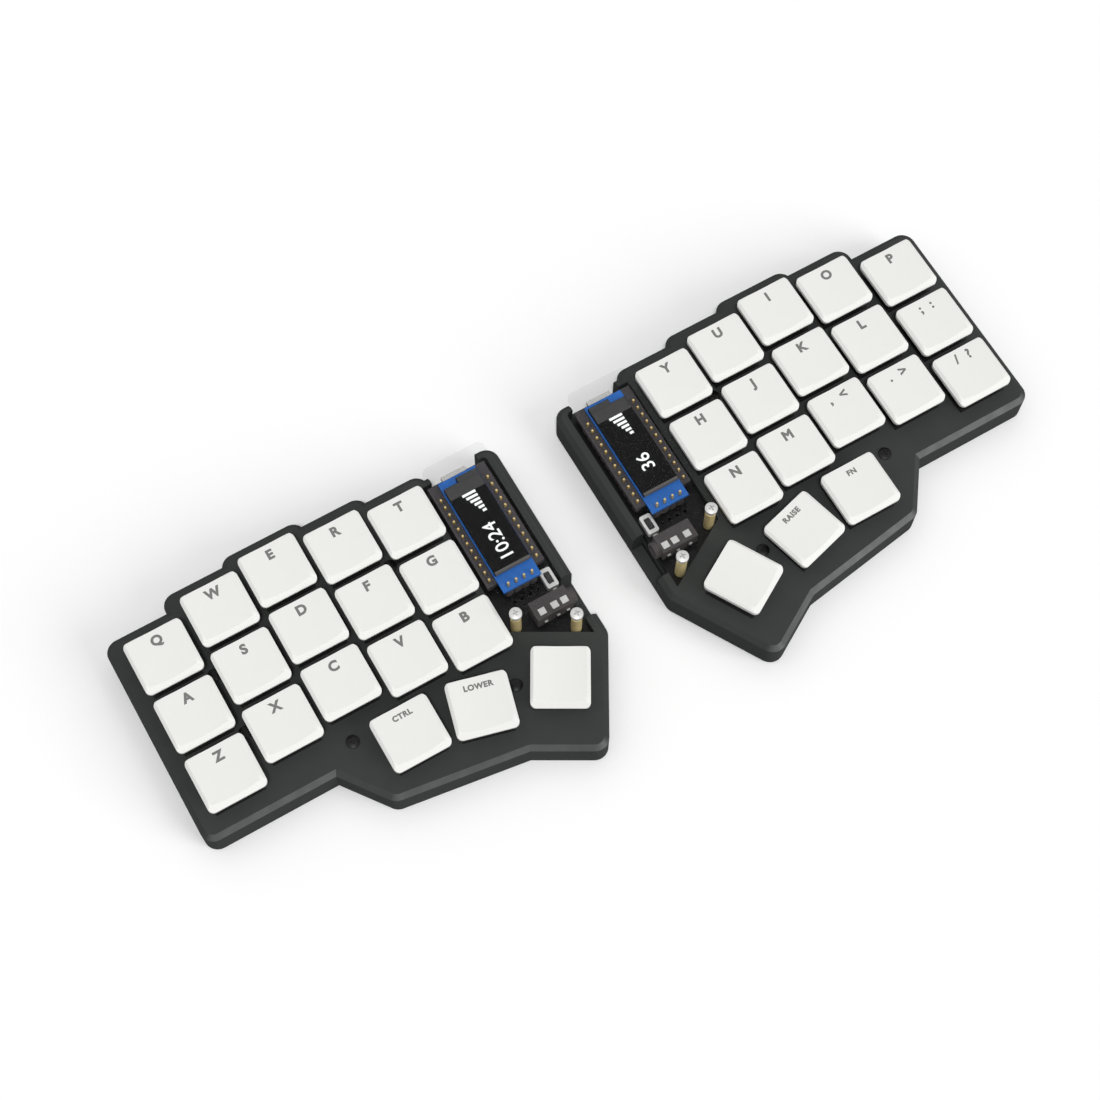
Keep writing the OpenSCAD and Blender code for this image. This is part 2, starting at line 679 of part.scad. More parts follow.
module slider() {
    color("#6b3a2a") difference() {
        union() {
            block(slider_size, slider_bottom, cap_ceiling - press_gap);
            block(slider_size + [2 * foot_reach, 0], slider_bottom, slider_bottom + foot_height);
        }
        post(slider_bottom - past, spring_top, spring_bore);
        for (x = [-1, 1])
            translate([x * leg_spacing / 2, 0, 0])
                block(leg_size + 2 * press_gap * [1, 1], leg_bottom - press_gap, cap_ceiling + past);
    }
}

module key(place, size) {
    at_key(place) {
        keycap(size);
        slider();
    }
}

module controller_board() {
    color("#423e40") difference() {
        slab(controller_bottom, controller_top)
            translate([controller_x - controller_width / 2, controller_y - controller_length])
                square([controller_width, controller_length]);
        pin_places() block(pin_hole, controller_bottom - past, controller_top + past);
        slab(controller_bottom - past, controller_top + past) offset(delta = case_gap) front_parts_area();
    }
}

module front_parts_area() {
    translate([controller_x, display_pin_y]) square([display_pins * pin_pitch, pin_pitch], center = true);
    translate([reset_x, reset_place]) square([reset_size[0], reset_size[1]], center = true);
}

module pin_places() {
    for (x = header_rows, i = [0 : pin_count - 1])
        translate([x, controller_y - first_pin - i * pin_pitch, 0]) children();
    display_pin_places() children();
}

module display_pin_places() {
    for (i = [0 : display_pins - 1])
        translate([controller_x + (i - (display_pins - 1) / 2) * pin_pitch, display_pin_y, 0]) children();
}

module beveled_block(size, bevel, bottom, top) {
    x = size[0] / 2;
    y = size[1] / 2;
    slab(bottom, top) polygon([[x, bevel - y], [x, y - bevel], [x - bevel, y], [bevel - x, y],
        [-x, y - bevel], [-x, bevel - y], [bevel - x, -y], [x - bevel, -y]]);
}

module header_strip(count, bottom, top) {
    block([pin_pitch - 2 * header_bevel, (count - 1) * pin_pitch], bottom, top);
    for (i = [0 : count - 1])
        translate([0, (i - (count - 1) / 2) * pin_pitch, 0])
            beveled_block([pin_pitch, pin_pitch], header_bevel, bottom, top);
}

module pin_headers() {
    color("#1b1b1b") both_halves() difference() {
        union() {
            for (x = header_rows)
                translate([x, controller_y - first_pin - (pin_count - 1) * pin_pitch / 2, 0])
                    header_strip(pin_count, board_top, controller_bottom);
            translate([controller_x, display_pin_y, 0]) rotate([0, 0, 90])
                header_strip(display_pins, board_top, display_bottom);
        }
        pin_places() block(pin_hole, board_top - past, display_bottom + past);
    }
}

module header_pins() {
    color("#b09250") both_halves() {
        for (x = header_rows, i = [0 : pin_count - 1])
            translate([x, controller_y - first_pin - i * pin_pitch, 0])
                block(pin_width * [1, 1], board_bottom - pin_tail, board_top + pin_rise);
        display_pin_places()
            block(pin_width * [1, 1], board_bottom - pin_tail, display_top + display_pin_rise);
    }
}

module usb_sockets() {
    color("#b8b8b8") both_halves()
        translate([controller_x, controller_y + usb_overhang, controller_bottom - usb_size[2]]) {
            difference() {
                socket_form(usb_size[1], 0);
                translate([0, past, 0]) socket_form(usb_size[1] + past - usb_wall, usb_wall);
            }
            translate([-tongue_size[0] / 2, usb_wall / 2 - usb_size[1], (usb_size[2] - tongue_size[2]) / 2])
                cube(tongue_size);
        }
}

module socket_form(depth, inset) {
    x = usb_size[0] / 2 - inset;
    top = usb_size[2] - inset;
    rotate([90, 0, 0]) linear_extrude(depth)
        polygon([[-x, top], [-x, inset + usb_bevel], [usb_bevel - x, inset],
            [x - usb_bevel, inset], [x, inset + usb_bevel], [x, top]]);
}

module display_boards() {
    color("#2f60a8") both_halves() difference() {
        slab(display_bottom, display_top)
            translate([controller_x - display_size[0] / 2, display_y - display_size[1]]) square(display_size);
        display_pin_places() block(pin_hole, display_bottom - past, display_top + past);
    }
}

module display_glasses() {
    color("#111111") both_halves()
        translate([controller_x - glass_size[0] / 2, display_y - glass_rear - glass_size[1], display_top])
            difference() {
                cube(glass_size);
                translate([-past, glass_size[1] - glass_notch[1], -past])
                    cube([glass_notch[0] + past, glass_notch[1] + past, glass_size[2] + 2 * past]);
            }
}

module cover_area() {
    rear = bay_rear + cover_rear;
    left = bay_x[0] + cover_side;
    right = bay_x[1] - cover_inner;
    edge = standoff_line - cover_front * unit(tilt + 90);
    polygon(concat([crossing(edge, tilt, [left, 0], 90), crossing(edge, tilt, [right, 0], 90)],
        arc([right - cover_corner, rear - cover_corner], cover_corner, 0, 90, arc_steps),
        arc([left + cover_corner, rear - cover_corner], cover_corner, 90, 180, arc_steps)));
}

module display_covers() {
    color("#dfe8ea", 0.35) both_halves() difference() {
        slab(cover_bottom, cover_top) cover_area();
        for (p = standoffs_xy)
            translate(p) post(cover_bottom - past, cover_top + past, screw_width + 2 * screw_gap);
    }
}

module standoffs() {
    color("#988555") both_halves() for (p = standoffs_xy) translate(p) difference() {
        union() {
            post(board_top, cover_bottom, standoff_width);
            post(board_bottom, board_top + past, stud_width);
        }
        post(cover_top - cover_screw_length - past, cover_bottom + past, screw_width + screw_gap);
    }
}

module pan_screw(seat, head, side, length) {
    crown = head[1] - side;
    dome = (pow(head[0] / 2, 2) + pow(crown, 2)) / (2 * crown);
    difference() {
        union() {
            intersection() {
                post(seat, seat + head[1], head[0]);
                translate([0, 0, seat + head[1] - dome]) sphere(dome);
            }
            post(seat - length, seat + side, screw_width);
        }
        drive_cross(seat + head[1], head[1] / 2);
    }
}

module cover_screws() {
    color("#c8c8c8") both_halves() for (p = standoffs_xy)
        translate(p) pan_screw(cover_top, cover_head, cover_head_side, cover_screw_length);
}

module case_screws() {
    color("#0e0e0e") both_halves() for (p = screws_xy)
        translate(p) pan_screw(case_top, case_head, case_head_side, case_screw_length);
}

module link_jacks() {
    color("#1a1a1a") both_halves() translate([jack_x, jack_place, 0]) difference() {
        union() {
            translate([-jack_size[0] / 2, 0, 0])
                block([jack_size[0], jack_size[1]], board_top, board_top + jack_size[2]);
            translate([-past, 0, jack_z]) rotate([0, 90, 0])
                cylinder(h = barrel_length + past, d = barrel_width);
        }
        translate([barrel_length - jack_depth, 0, jack_z]) rotate([0, 90, 0])
            cylinder(h = jack_depth + past, d = jack_bore);
        for (d = window_places) translate([-d - window_size / 2, 0, 0]) {
            translate([0, -window_shift, 0])
                block([window_size, window_size], jack_z + jack_bore / 4, board_top + jack_size[2] + past);
            translate([0, -jack_size[1] / 2, 0])
                block([foot_notch[0], 2 * foot_notch[1]], board_top - past, board_top + foot_notch[2]);
        }
    }
}

module reset_switches() {
    opening = reset_button + 2 * reset_gap * [1, 1];
    color("#b9b9b7") both_halves() translate([reset_x, reset_place, 0]) difference() {
        union() {
            beveled_block([reset_size[0], reset_size[1]], reset_bevel, board_top, reset_top);
            block([reset_lug[0], reset_size[1] + 2 * reset_lug[1]], board_top, board_top + reset_lug[2]);
        }
        block(opening, board_top + housing_floor, reset_top + past);
    }
}

module reset_button_form() {
    color("#2a2a2a") translate([reset_x, reset_place, 0])
        block(reset_button, board_top + housing_floor + reset_travel + reset_gap, reset_top + reset_rise);
}

module rubber_feet() {
    color("#101010") both_halves() for (p = feet_xy) translate(p) post(0, foot_size[1], foot_size[0]);
}

left_half() top_case();  // left_top_case
right_half() top_case();  // right_top_case
left_half() bottom_case();  // left_bottom_case
right_half() bottom_case();  // right_bottom_case
left_half() circuit_board();  // left_circuit_board
right_half() circuit_board();  // right_circuit_board
left_half() controller_board();  // left_controller_board
right_half() controller_board();  // right_controller_board
left_half() reset_button_form();  // left_reset_button
right_half() reset_button_form();  // right_reset_button
display_boards();
display_glasses();
display_covers();
link_jacks();
reset_switches();
switch_housings();
switch_springs();
pin_headers();
header_pins();
usb_sockets();
standoffs();
cover_screws();
case_screws();
rubber_feet();
for (i = [0 : len(places) - 1]) {
    size = i == len(places) - 1 ? [cap_depth, cap_width] : [cap_width, cap_depth];
    left_half() key(places[i], size);
    right_half() key(places[i], size);
}
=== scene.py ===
"""Finishes a packed low-profile split keyboard: caps, cases, boards, displays and a studio stage."""

import json
import math

import bmesh
import bpy
from mathutils import Matrix, Vector

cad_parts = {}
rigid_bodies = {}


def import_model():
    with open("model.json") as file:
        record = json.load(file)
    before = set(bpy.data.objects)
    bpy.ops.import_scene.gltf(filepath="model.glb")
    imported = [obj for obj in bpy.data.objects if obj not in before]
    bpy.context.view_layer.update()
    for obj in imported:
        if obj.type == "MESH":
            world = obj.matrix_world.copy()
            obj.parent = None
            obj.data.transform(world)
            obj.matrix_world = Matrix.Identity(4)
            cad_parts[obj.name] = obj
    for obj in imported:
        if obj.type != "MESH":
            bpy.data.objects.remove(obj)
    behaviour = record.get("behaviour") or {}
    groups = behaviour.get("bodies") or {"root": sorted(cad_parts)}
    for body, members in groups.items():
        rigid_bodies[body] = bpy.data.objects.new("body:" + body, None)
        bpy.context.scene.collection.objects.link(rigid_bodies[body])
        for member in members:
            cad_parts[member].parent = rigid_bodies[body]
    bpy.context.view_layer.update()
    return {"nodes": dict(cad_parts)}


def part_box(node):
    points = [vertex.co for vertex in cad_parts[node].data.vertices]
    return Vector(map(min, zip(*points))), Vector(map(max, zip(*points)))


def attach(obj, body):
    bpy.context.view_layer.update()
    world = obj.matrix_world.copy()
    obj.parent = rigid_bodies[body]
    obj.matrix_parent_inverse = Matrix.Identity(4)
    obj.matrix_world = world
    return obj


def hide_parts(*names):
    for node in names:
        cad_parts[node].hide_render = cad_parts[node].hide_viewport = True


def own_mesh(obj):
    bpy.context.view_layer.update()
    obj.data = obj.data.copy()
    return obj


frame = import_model()

bl_info = {
    "name": "Split keyboard finish",
    "version": (1, 0, 0),
    "blender": (4, 5, 0),
    "location": "View3D > Sidebar > Keyboard",
    "description": "Dresses a low-profile split keyboard and sets it on a studio floor",
    "category": "Object",
}

MM = 0.001
ROOT = "halves"
# Face mark for the painted highlight on the cases' front slopes
HIGHLIGHT_MARK = "highlight_mask"
SIDES = {"left": -1, "right": 1}
LEFT_KEYS = ["key_" + letter for letter in "qwertasdfgzxcvb"]
RIGHT_KEYS = ["key_" + name for name in (
    "p", "o", "i", "u", "y", "semicolon", "l", "k", "j", "h", "slash", "period", "comma", "m", "n")]
JOIN = 0.002 * MM  # Distance below which corners of a CAD node are one
BEVEL_ANGLE = math.radians(32)  # Edges that turn by more than this are rounded
SHARP_ANGLE = math.radians(40)  # Edges that turn by more than this stay sharp
CAP_SHARP_ANGLE = math.radians(50)
THUMB_TURNS = {"outer": 0, "middle": 15, "inner": 30}
LEGENDS = {"key_semicolon": ";  :", "key_slash": "/  ?", "key_period": ".  >", "key_comma": ",  <"}
THUMB_WORDS = {"left_outer": "CTRL", "left_middle": "LOWER", "right_middle": "RAISE", "right_outer": "FN"}
READOUTS = {"left": "10:24", "right": "36"}
LEVEL_BARS = 6
CAPITAL = 0.729  # Height of a capital in the built-in font at size 1
WELD = 0.0005  # Distance below which corners of that font's outlines are one
PIN_TIP_SHARE = 0.84  # Width of a pin's tip as a share of its shaft
CONTACT_PLACES = tuple(place * MM for place in (3.65, 6.75, 10.75))  # From a jack's mouth to its contacts

CAMERA_PLACE = (-0.12424, -0.18585, 0.55159)
CAMERA_FORWARD = (0.19201, 0.32920, -0.92453)
CAMERA_UP = (0.46139, 0.80118, 0.38109)
CAMERA_LENS = 67.6
LAMPS = {  # Direction, strength and softness in degrees
    "key_light": ((-0.5, 0.74, -0.45), 1.35, 36),
    "fill_light": ((0.19, 0.33, -0.92), 1.12, 8),
    "back_light": ((0.15, -0.3, -0.94), 0.65, 100),
}
WORLD_LIGHT = 0.3  # Light from all round that falls on the keyboard
FLOOR_BOUNCE = 0.4  # Share of its light that the floor throws back
FLOOR_REACH = 3


def tone(code):
    """Linear values of a hex colour."""
    parts = [int(code[i:i + 2], 16) / 255 for i in (1, 3, 5)]
    return tuple(p / 12.92 if p <= 0.04045 else ((p + 0.055) / 1.055) ** 2.4 for p in parts)


def length(name, description, millimetres):
    """A size in the sidebar."""
    return bpy.props.FloatProperty(
        name=name, description=description, default=millimetres * MM, unit="LENGTH", precision=5)


def colour(name, description, code):
    """A colour in the sidebar."""
    return bpy.props.FloatVectorProperty(
        name=name, description=description, default=tone(code), size=3, subtype="COLOR", min=0, max=1)


class KeyboardSizes(bpy.types.PropertyGroup):
    """Sizes of the finishing details."""

    cap_height: length("Cap height", "Height of a keycap from its lower edge to its rim", 2.23)
    cap_corner: length("Cap corner", "Radius of a keycap's upright corners", 1.6)
    cap_wall: length("Cap wall", "Thickness of a keycap's side walls", 1.1)
    cap_roof: length("Cap roof", "Thickness of a keycap under the dish", 0.8)
    dish_depth: length("Dish depth", "Depth of the finger dish", 0.5)
    dish_radius: length("Dish radius", "Radius of the finger dish", 64)
    side_run: length("Side run", "Run of the bevel along a keycap's sides", 0.93)
    side_drop: length("Side drop", "Drop of the bevel along a keycap's sides", 0.65)
    rear_bevel: length("Rear bevel", "Bevel along a keycap's rear", 0.3)
    front_run: length("Front run", "Run of a keycap's front bevel", 1.8)
    front_drop: length("Front drop", "Drop of a keycap's front bevel", 1.5)
    crease: length("Crease", "Rounding where the faces of a keycap meet", 0.05)
    leg_spacing: length("Leg spacing", "Spacing of the legs under a keycap", 5.7)
    leg_width: length("Leg width", "Width of a leg", 1.2)
    leg_depth: length("Leg depth", "Depth of a leg", 3)
    leg_length: length("Leg length", "Length of a leg", 2.6)
    leg_corner: length("Leg corner", "Radius of a leg's upright corners", 0.25)
    letter_height: length("Letter height", "Height of the letters on the keys", 3.3)
    word_height: length("Word height", "Height of the words on the thumb keys", 1.85)
    letter_weight: length("Letter weight", "How much bolder than the font the letters are", 0.19)
    symbol_weight: length("Symbol weight", "How much bolder than the font the signs are", 0.13)
    word_weight: length("Word weight", "How much bolder than the font the words are", 0.11)
    letter_place: length("Letter place", "Distance of a letter behind the middle of its key", 5.2)
    letter_shift: length("Letter shift", "Distance of the lettering to the right of its key's middle", 0.4)
    word_place: length("Word place", "Distance of a word behind the middle of its key", 5.5)
    ink: length("Ink", "How far the lettering stands out", 0.02)
    case_edge: length("Case edge", "Rounding of the edges of the cases", 0.16)
    part_edge: length("Part edge", "Rounding of the edges of small moulded parts", 0.18)
    board_edge: length("Board edge", "Rounding of the edges of the boards", 0.08)
    metal_edge: length("Metal edge", "Rounding of the edges of metal parts", 0.12)
    foot_edge: length("Foot edge", "Rounding of the rubber feet", 0.4)
    pin_width: length("Pin width", "Thickness of a header pin", 0.64)
    pin_tip: length("Pin tip", "Height of the taper at a pin's end", 0.14)
    margin_rear: length("Rear margin", "Depth of the film behind a display's rear edge", 5.75)
    margin_front: length("Front margin", "Depth of a display's ground front edge", 0.75)
    margin_inset: length("Margin inset", "Distance of the film from the edges of a display", 0.12)
    notch_width: length("Notch width", "Width of the notch in the film's rear edge", 4.7)
    notch_depth: length("Notch depth", "Depth of the notch in the film's rear edge", 1.6)
    film: length("Film", "How far the film stands out of the glass", 0.02)
    film_corner: length("Film corner", "Radius of the film's corners", 0.03)
    number_height: length("Number height", "Height of the number on a display", 4.2)
    number_weight: length("Number weight", "How much bolder than the font the number is", 0.06)
    number_place: length("Number place", "Distance of the number in front of a display's middle", 4.2)
    dot_height: length("Dot height", "How far the lit dots stand out", 0.015)
    bar_place: length("Bar place", "Distance of the first level bar behind a display's middle", 5.2)
    bar_pitch: length("Bar pitch", "Spacing of the level bars", 1.3)
    bar_width: length("Bar width", "Width of a level bar", 0.8)
    bar_height: length("Bar height", "Height of the first level bar", 1.2)
    bar_step: length("Bar step", "How much higher each further level bar is", 0.6)
    bar_corner: length("Bar corner", "Radius of a level bar's corners", 0.02)
    contact_width: length("Contact width", "Width of the square contacts on a link jack", 2.12)
    contact_place: length("Contact place", "Distance of the contacts in front of a jack's middle", 0.93)
    contact_top: length("Contact top", "Depth of the contacts' tops under a jack's top", 0.08)
    contact_foot: length("Contact foot", "Depth of the contacts' undersides under a jack's top", 0.5)
    contact_corner: length("Contact corner", "Radius of the contacts' corners", 0.1)
    tab_width: length("Tab width", "Width of the soldering tabs", 1)
    tab_shift: length("Tab shift", "Distance of a jack's tabs to the right of its contacts", 0.05)
    tab_reach: length("Tab reach", "How far a jack's tabs stand out in front", 0.35)
    tab_root: length("Tab root", "How deep a jack's tabs are set in", 0.75)
    tab_foot: length("Tab foot", "Height of the underside of a jack's tabs", 1.5)
    tab_top: length("Tab top", "Height of the top of a jack's tabs", 2.3)
    tab_corner: length("Tab corner", "Radius of the soldering tabs' corners", 0.06)
    reset_tab_reach: length("Reset tab reach", "How far a reset switch's tab stands out in front", 0.5)
    reset_tab_root: length("Reset tab root", "How deep a reset switch's tab is set in", 0.3)
    reset_tab_foot: length("Reset tab foot", "Depth of a reset tab's underside under the frame's top", 1.1)
    reset_tab_top: length("Reset tab top", "Depth of a reset tab's top under the frame's top", 0.5)


class KeyboardColours(bpy.types.PropertyGroup):
    """Colours of the finishes."""

    case: colour("Case", "Printed plastic of the cases", "#3f4140")
    base: colour("Base", "Printed plastic of the bases", "#363837")
    cap: colour("Caps", "Moulded plastic of the keycaps", "#e9e9e6")
    ink: colour("Ink", "Lettering on the keycaps", "#747472")
    slider: colour("Sliders", "Plastic of the switch sliders", "#5a3021")
    housing: colour("Housings", "Plastic of the switch housings", "#121212")
    board: colour("Circuit board", "Solder mask of the circuit boards", "#0b0b0b")
    controller: colour("Controller", "Solder mask of the controller boards", "#494648")
    display: colour("Display board", "Solder mask of the display boards", "#2a69bc")
    glass: colour("Display glass", "Dark glass of the displays", "#141414")
    margin: colour("Display margin", "Film behind the edge of the displays", "#4a4a4a")
    edge: colour("Display edge", "Ground front edge of the displays", "#646260")
    lit: colour("Readout", "Lit parts of the displays", "#f4f6f6")
    jack: colour("Jacks", "Plastic of the link jacks", "#504c4d")
    header: colour("Headers", "Plastic of the pin headers", "#565152")
    frame: colour("Reset frame", "Plated frame of the reset switches", "#cacac8")
    button: colour("Reset button", "Button of the reset switches", "#262425")
    gold: colour("Pins", "Plating of the header pins", "#e2c684")
    brass: colour("Brass", "Metal of the standoffs", "#e0cc92")
    steel: colour("Steel", "Bright metal of screws and contacts", "#c8c8c6")
    socket: colour("Sockets", "Sheet metal of the sockets", "#aeaeac")
    black_steel: colour("Black steel", "Blackened metal of the case screws", "#0c0b0b")
    rubber: colour("Rubber", "Rubber of the feet", "#0c0c0c")
    cover: colour("Cover", "Clear plastic of the display covers", "#1c1e1e")
    floor: colour("Floor", "Studio floor", "#ffffff")


class Field:
    """One output of a material's nodes; arithmetic on it adds Math nodes."""

    def __init__(self, finish, socket):
        self.finish = finish
        self.socket = socket

    def maths(self, operation, first, second):
        return self.finish.node("ShaderNodeMath", {"operation": operation}, {0: first, 1: second})

    def __add__(self, other):
        return self.maths("ADD", self, other)

    def __radd__(self, other):
        return self.maths("ADD", other, self)

    def __sub__(self, other):
        return self.maths("SUBTRACT", self, other)

    def __rsub__(self, other):
        return self.maths("SUBTRACT", other, self)

    def __mul__(self, other):
        return self.maths("MULTIPLY", self, other)

    def __rmul__(self, other):
        return self.maths("MULTIPLY", other, self)


class Finish:
    """A material whose nodes are added by plain calls."""

    def __init__(self, name):
        self.material = bpy.data.materials.new(name)
        self.material.use_nodes = True
        self.tree = self.material.node_tree
        self.shader = self.tree.nodes["Principled BSDF"]

    def node(self, kind, settings=None, sockets=None, output=0):
        """Adds a node, sets it up, feeds its sockets and returns one of its outputs."""
        added = self.tree.nodes.new(kind)
        for key, value in (settings or {}).items():
            setattr(added, key, value)
        for key, value in (sockets or {}).items():
            self.feed(added.inputs[key], value)
        return Field(self, added.outputs[output])

    def feed(self, socket, value):
        """Links a field to a socket, or sets a plain value on it."""
        if isinstance(value, Field):
            self.tree.links.new(value.socket, socket)
        elif socket.type == "RGBA" and len(value) == 3:
            socket.default_value = (*value, 1)
        else:
            socket.default_value = value

    def shade(self, **sockets):
        """Feeds the shader's sockets; an underscore in a name stands for a space."""
        for key, value in sockets.items():
            self.feed(self.shader.inputs[key.replace("_", " ")], value)

    def place(self, stretch=(1, 1, 1), turn=0):
        """Object coordinates, stretched and turned about the upright axis."""
        spot = self.node("ShaderNodeTexCoord", output="Object")
        return self.node("ShaderNodeMapping", None, {
            "Vector": spot, "Scale": stretch, "Rotation": (0, 0, turn)})

    def noise(self, size, detail, stretch=(1, 1, 1), turn=0):
        """Noise from 0 to 1 whose features are about as wide as size."""
        return self.node("ShaderNodeTexNoise", None, {
            "Vector": self.place(stretch, turn), "Scale": 1 / size, "Detail": detail})

    def mix(self, share, first, second):
        """A colour between two others."""
        return self.node("ShaderNodeMix", {"data_type": "RGBA"}, {"Factor": share, 6: first, 7: second}, 2)

    def relief(self, height, depth):
        """Bump from a height field."""
        self.shade(Normal=self.node("ShaderNodeBump", None, {
            "Height": height, "Distance": depth, "Strength": 1}))


def shaded(base, factor):
    """A colour made darker or lighter."""
    return tuple(min(1, part * factor) for part in base)


def moulded(name, base, rough, grain, depth, mottle=0.1, gloss=0.35, highlight_coat=0):
    """Plastic with a fine grain, a slightly uneven colour and a painted highlight: a glossy coat on marked
    faces that shines under the front lamp.
    """
    finish = Finish(name)
    cloud = finish.noise(size=4 * MM, detail=4)
    fine = finish.noise(size=grain, detail=3)
    finish.shade(Base_Color=finish.mix(cloud, shaded(base, 1 - mottle), shaded(base, 1 + mottle)),
                 Roughness=rough + (fine - 0.5) * 0.2, Specular_IOR_Level=gloss)
    if highlight_coat:
        # Painted highlight: a glossy coat only on the marked faces
        highlight_mask = finish.node("ShaderNodeAttribute", {"attribute_name": HIGHLIGHT_MARK}, output="Fac")
        finish.shade(Coat_Weight=highlight_mask * (cloud + 0.5) * highlight_coat, Coat_Roughness=0.44)
    finish.relief(fine, depth)
    return finish.material


def plated(name, base, rough, metal=1.0, stretch=(1, 1, 1)):
    """Metal with fine drawn marks and slightly dull patches."""
    finish = Finish(name)
    marks = finish.noise(size=0.12 * MM, detail=3, stretch=stretch)
    patches = finish.noise(size=1.2 * MM, detail=3)
    finish.shade(Base_Color=finish.mix(patches, shaded(base, 0.88), shaded(base, 1.08)),
                 Roughness=rough + (marks - 0.5) * 0.18 + (patches - 0.5) * 0.12, Metallic=metal)
    finish.relief(marks, 0.004 * MM)
    return finish.material


def laminate(name, base, gloss):
    """Solder mask over woven glass cloth."""
    finish = Finish(name)
    weave = [finish.node("ShaderNodeTexWave", {"bands_direction": axis}, {
        "Vector": finish.place(), "Scale": 420, "Distortion": 0.6, "Detail Scale": 3}, 1) for axis in "XY"]
    cloth = weave[0] * weave[1]
    cloud = finish.noise(size=2.5 * MM, detail=3)
    finish.shade(Base_Color=finish.mix(cloud, shaded(base, 0.9), shaded(base, 1.1)),
                 Roughness=0.36 + cloth * 0.1, Specular_IOR_Level=gloss)
    finish.relief(cloth, 0.004 * MM)
    return finish.material


def glazed(name, base):
    """Dark display glass with faint smears."""
    finish = Finish(name)
    smear = finish.noise(size=3 * MM, detail=4, stretch=(1, 0.4, 1), turn=0.5)
    finish.shade(Base_Color=finish.mix(smear, base, shaded(base, 1.3)), Roughness=0.28 + smear * 0.08,
                 Specular_IOR_Level=0.05)
    return finish.material


def clear(name, base):
    """Clear sheet with polished faces and a few hazy patches."""
    finish = Finish(name)
    haze = finish.noise(size=6 * MM, detail=3)
    finish.shade(Base_Color=base, Roughness=0.12 + haze * 0.06, Alpha=0.035 + haze * 0.02,
                 Specular_IOR_Level=0.2)
    return finish.material


def glowing(name, base):
    """Lit display dots in a fine grid."""
    finish = Finish(name)
    grid = [finish.node("ShaderNodeTexWave", {"bands_direction": axis, "wave_profile": "SIN"}, {
        "Vector": finish.place(), "Scale": 1250}, 1) for axis in "XY"]
    dots = finish.mix(grid[0] * grid[1], base, shaded(base, 0.9))
    finish.shade(Base_Color=dots, Emission_Color=dots, Emission_Strength=0.35, Roughness=0.3)
    return finish.material


def build_finishes(colours):
    """Makes every finish of the keyboard once."""
    moulded("cap_plastic", colours.cap, rough=0.5, grain=0.16 * MM, depth=0.003 * MM, mottle=0.012)
    moulded("cap_ink", colours.ink, rough=0.6, grain=0.1 * MM, depth=0.004 * MM, mottle=0.06)
    moulded("slider_plastic", colours.slider, rough=0.45, grain=0.2 * MM, depth=0.004 * MM)
    moulded("housing_plastic", colours.housing, rough=0.42, grain=0.2 * MM, depth=0.006 * MM)
    # The case plastic gets a painted highlight on its marked front slopes
    moulded("case_plastic", colours.case, rough=0.72, grain=0.14 * MM, depth=0.012 * MM,
            mottle=0.07, gloss=0.012, highlight_coat=1)
    moulded("base_plastic", colours.base, rough=0.72, grain=0.14 * MM, depth=0.012 * MM,
            mottle=0.07, gloss=0.012)
    moulded("header_plastic", colours.header, rough=0.6, grain=0.12 * MM, depth=0.006 * MM,
            mottle=0.08, gloss=0.08)
    moulded("jack_plastic", colours.jack, rough=0.6, grain=0.12 * MM, depth=0.006 * MM,
            mottle=0.08, gloss=0.08)
    moulded("button_plastic", colours.button, rough=0.5, grain=0.1 * MM, depth=0.006 * MM)
    moulded("foot_rubber", colours.rubber, rough=0.85, grain=0.2 * MM, depth=0.02 * MM)
    moulded("display_margin", colours.margin, rough=0.4, grain=0.3 * MM, depth=0.001 * MM,
            mottle=0.05, gloss=0.05)
    moulded("display_edge", colours.edge, rough=0.4, grain=0.3 * MM, depth=0.001 * MM, mottle=0.05,
            gloss=0.05)
    laminate("circuit_mask", colours.board, gloss=0.15)
    laminate("controller_mask", colours.controller, gloss=0.12)
    laminate("display_mask", colours.display, gloss=0.25)
    glazed("pane_glass", colours.glass)
    glowing("display_dots", colours.lit)
    clear("clear_sheet", colours.cover)
    moulded("black_steel", colours.black_steel, rough=0.4, grain=0.1 * MM, depth=0.004 * MM,
            mottle=0.3, gloss=0.2)
    plated("pin_gold", colours.gold, rough=0.35, metal=0.4, stretch=(1, 1, 0.2))
    plated("brass", colours.brass, rough=0.42, metal=0.2, stretch=(1, 1, 12))
    plated("bright_steel", colours.steel, rough=0.45, metal=0.4)
    plated("socket_steel", colours.socket, rough=0.3, metal=0.8, stretch=(0.15, 1, 1))
    plated("frame_steel", colours.frame, rough=0.45, metal=0.4, stretch=(1, 0.2, 1))
    plated("spring_steel", colours.steel, rough=0.35)


def middle(box):
    """The middle of a box."""
    return (box[0] + box[1]) / 2


def merged(node):
    """A CAD node's loose faces as one joined form."""
    source = frame["nodes"][node].data
    mesh = bpy.data.meshes.new(node)
    mesh.from_pydata([v.co for v in source.vertices], [], [p.vertices[:] for p in source.polygons])
    form = bmesh.new()
    form.from_mesh(mesh)
    bpy.data.meshes.remove(mesh)
    bmesh.ops.remove_doubles(form, verts=form.verts, dist=JOIN)
    return form


def islands(form):
    """The corners of each separate solid of a form, from left to right."""
    form.verts.index_update()
    waiting = set(range(len(form.verts)))
    form.verts.ensure_lookup_table()
    groups = []
    while waiting:
        queue = [waiting.pop()]
        group = list(queue)
        while queue:
            for edge in form.verts[queue.pop()].link_edges:
                for vert in edge.verts:
                    if vert.index in waiting:
                        waiting.remove(vert.index)
                        queue.append(vert.index)
                        group.append(vert.index)
        groups.append([form.verts[i] for i in sorted(group)])
    return sorted(groups, key=lambda group: tuple(round(c, 6) for c in middle(reach(group))))


def reach(verts):
    """The box round some corners."""
    return (Vector([min(v.co[i] for v in verts) for i in range(3)]),
            Vector([max(v.co[i] for v in verts) for i in range(3)]))


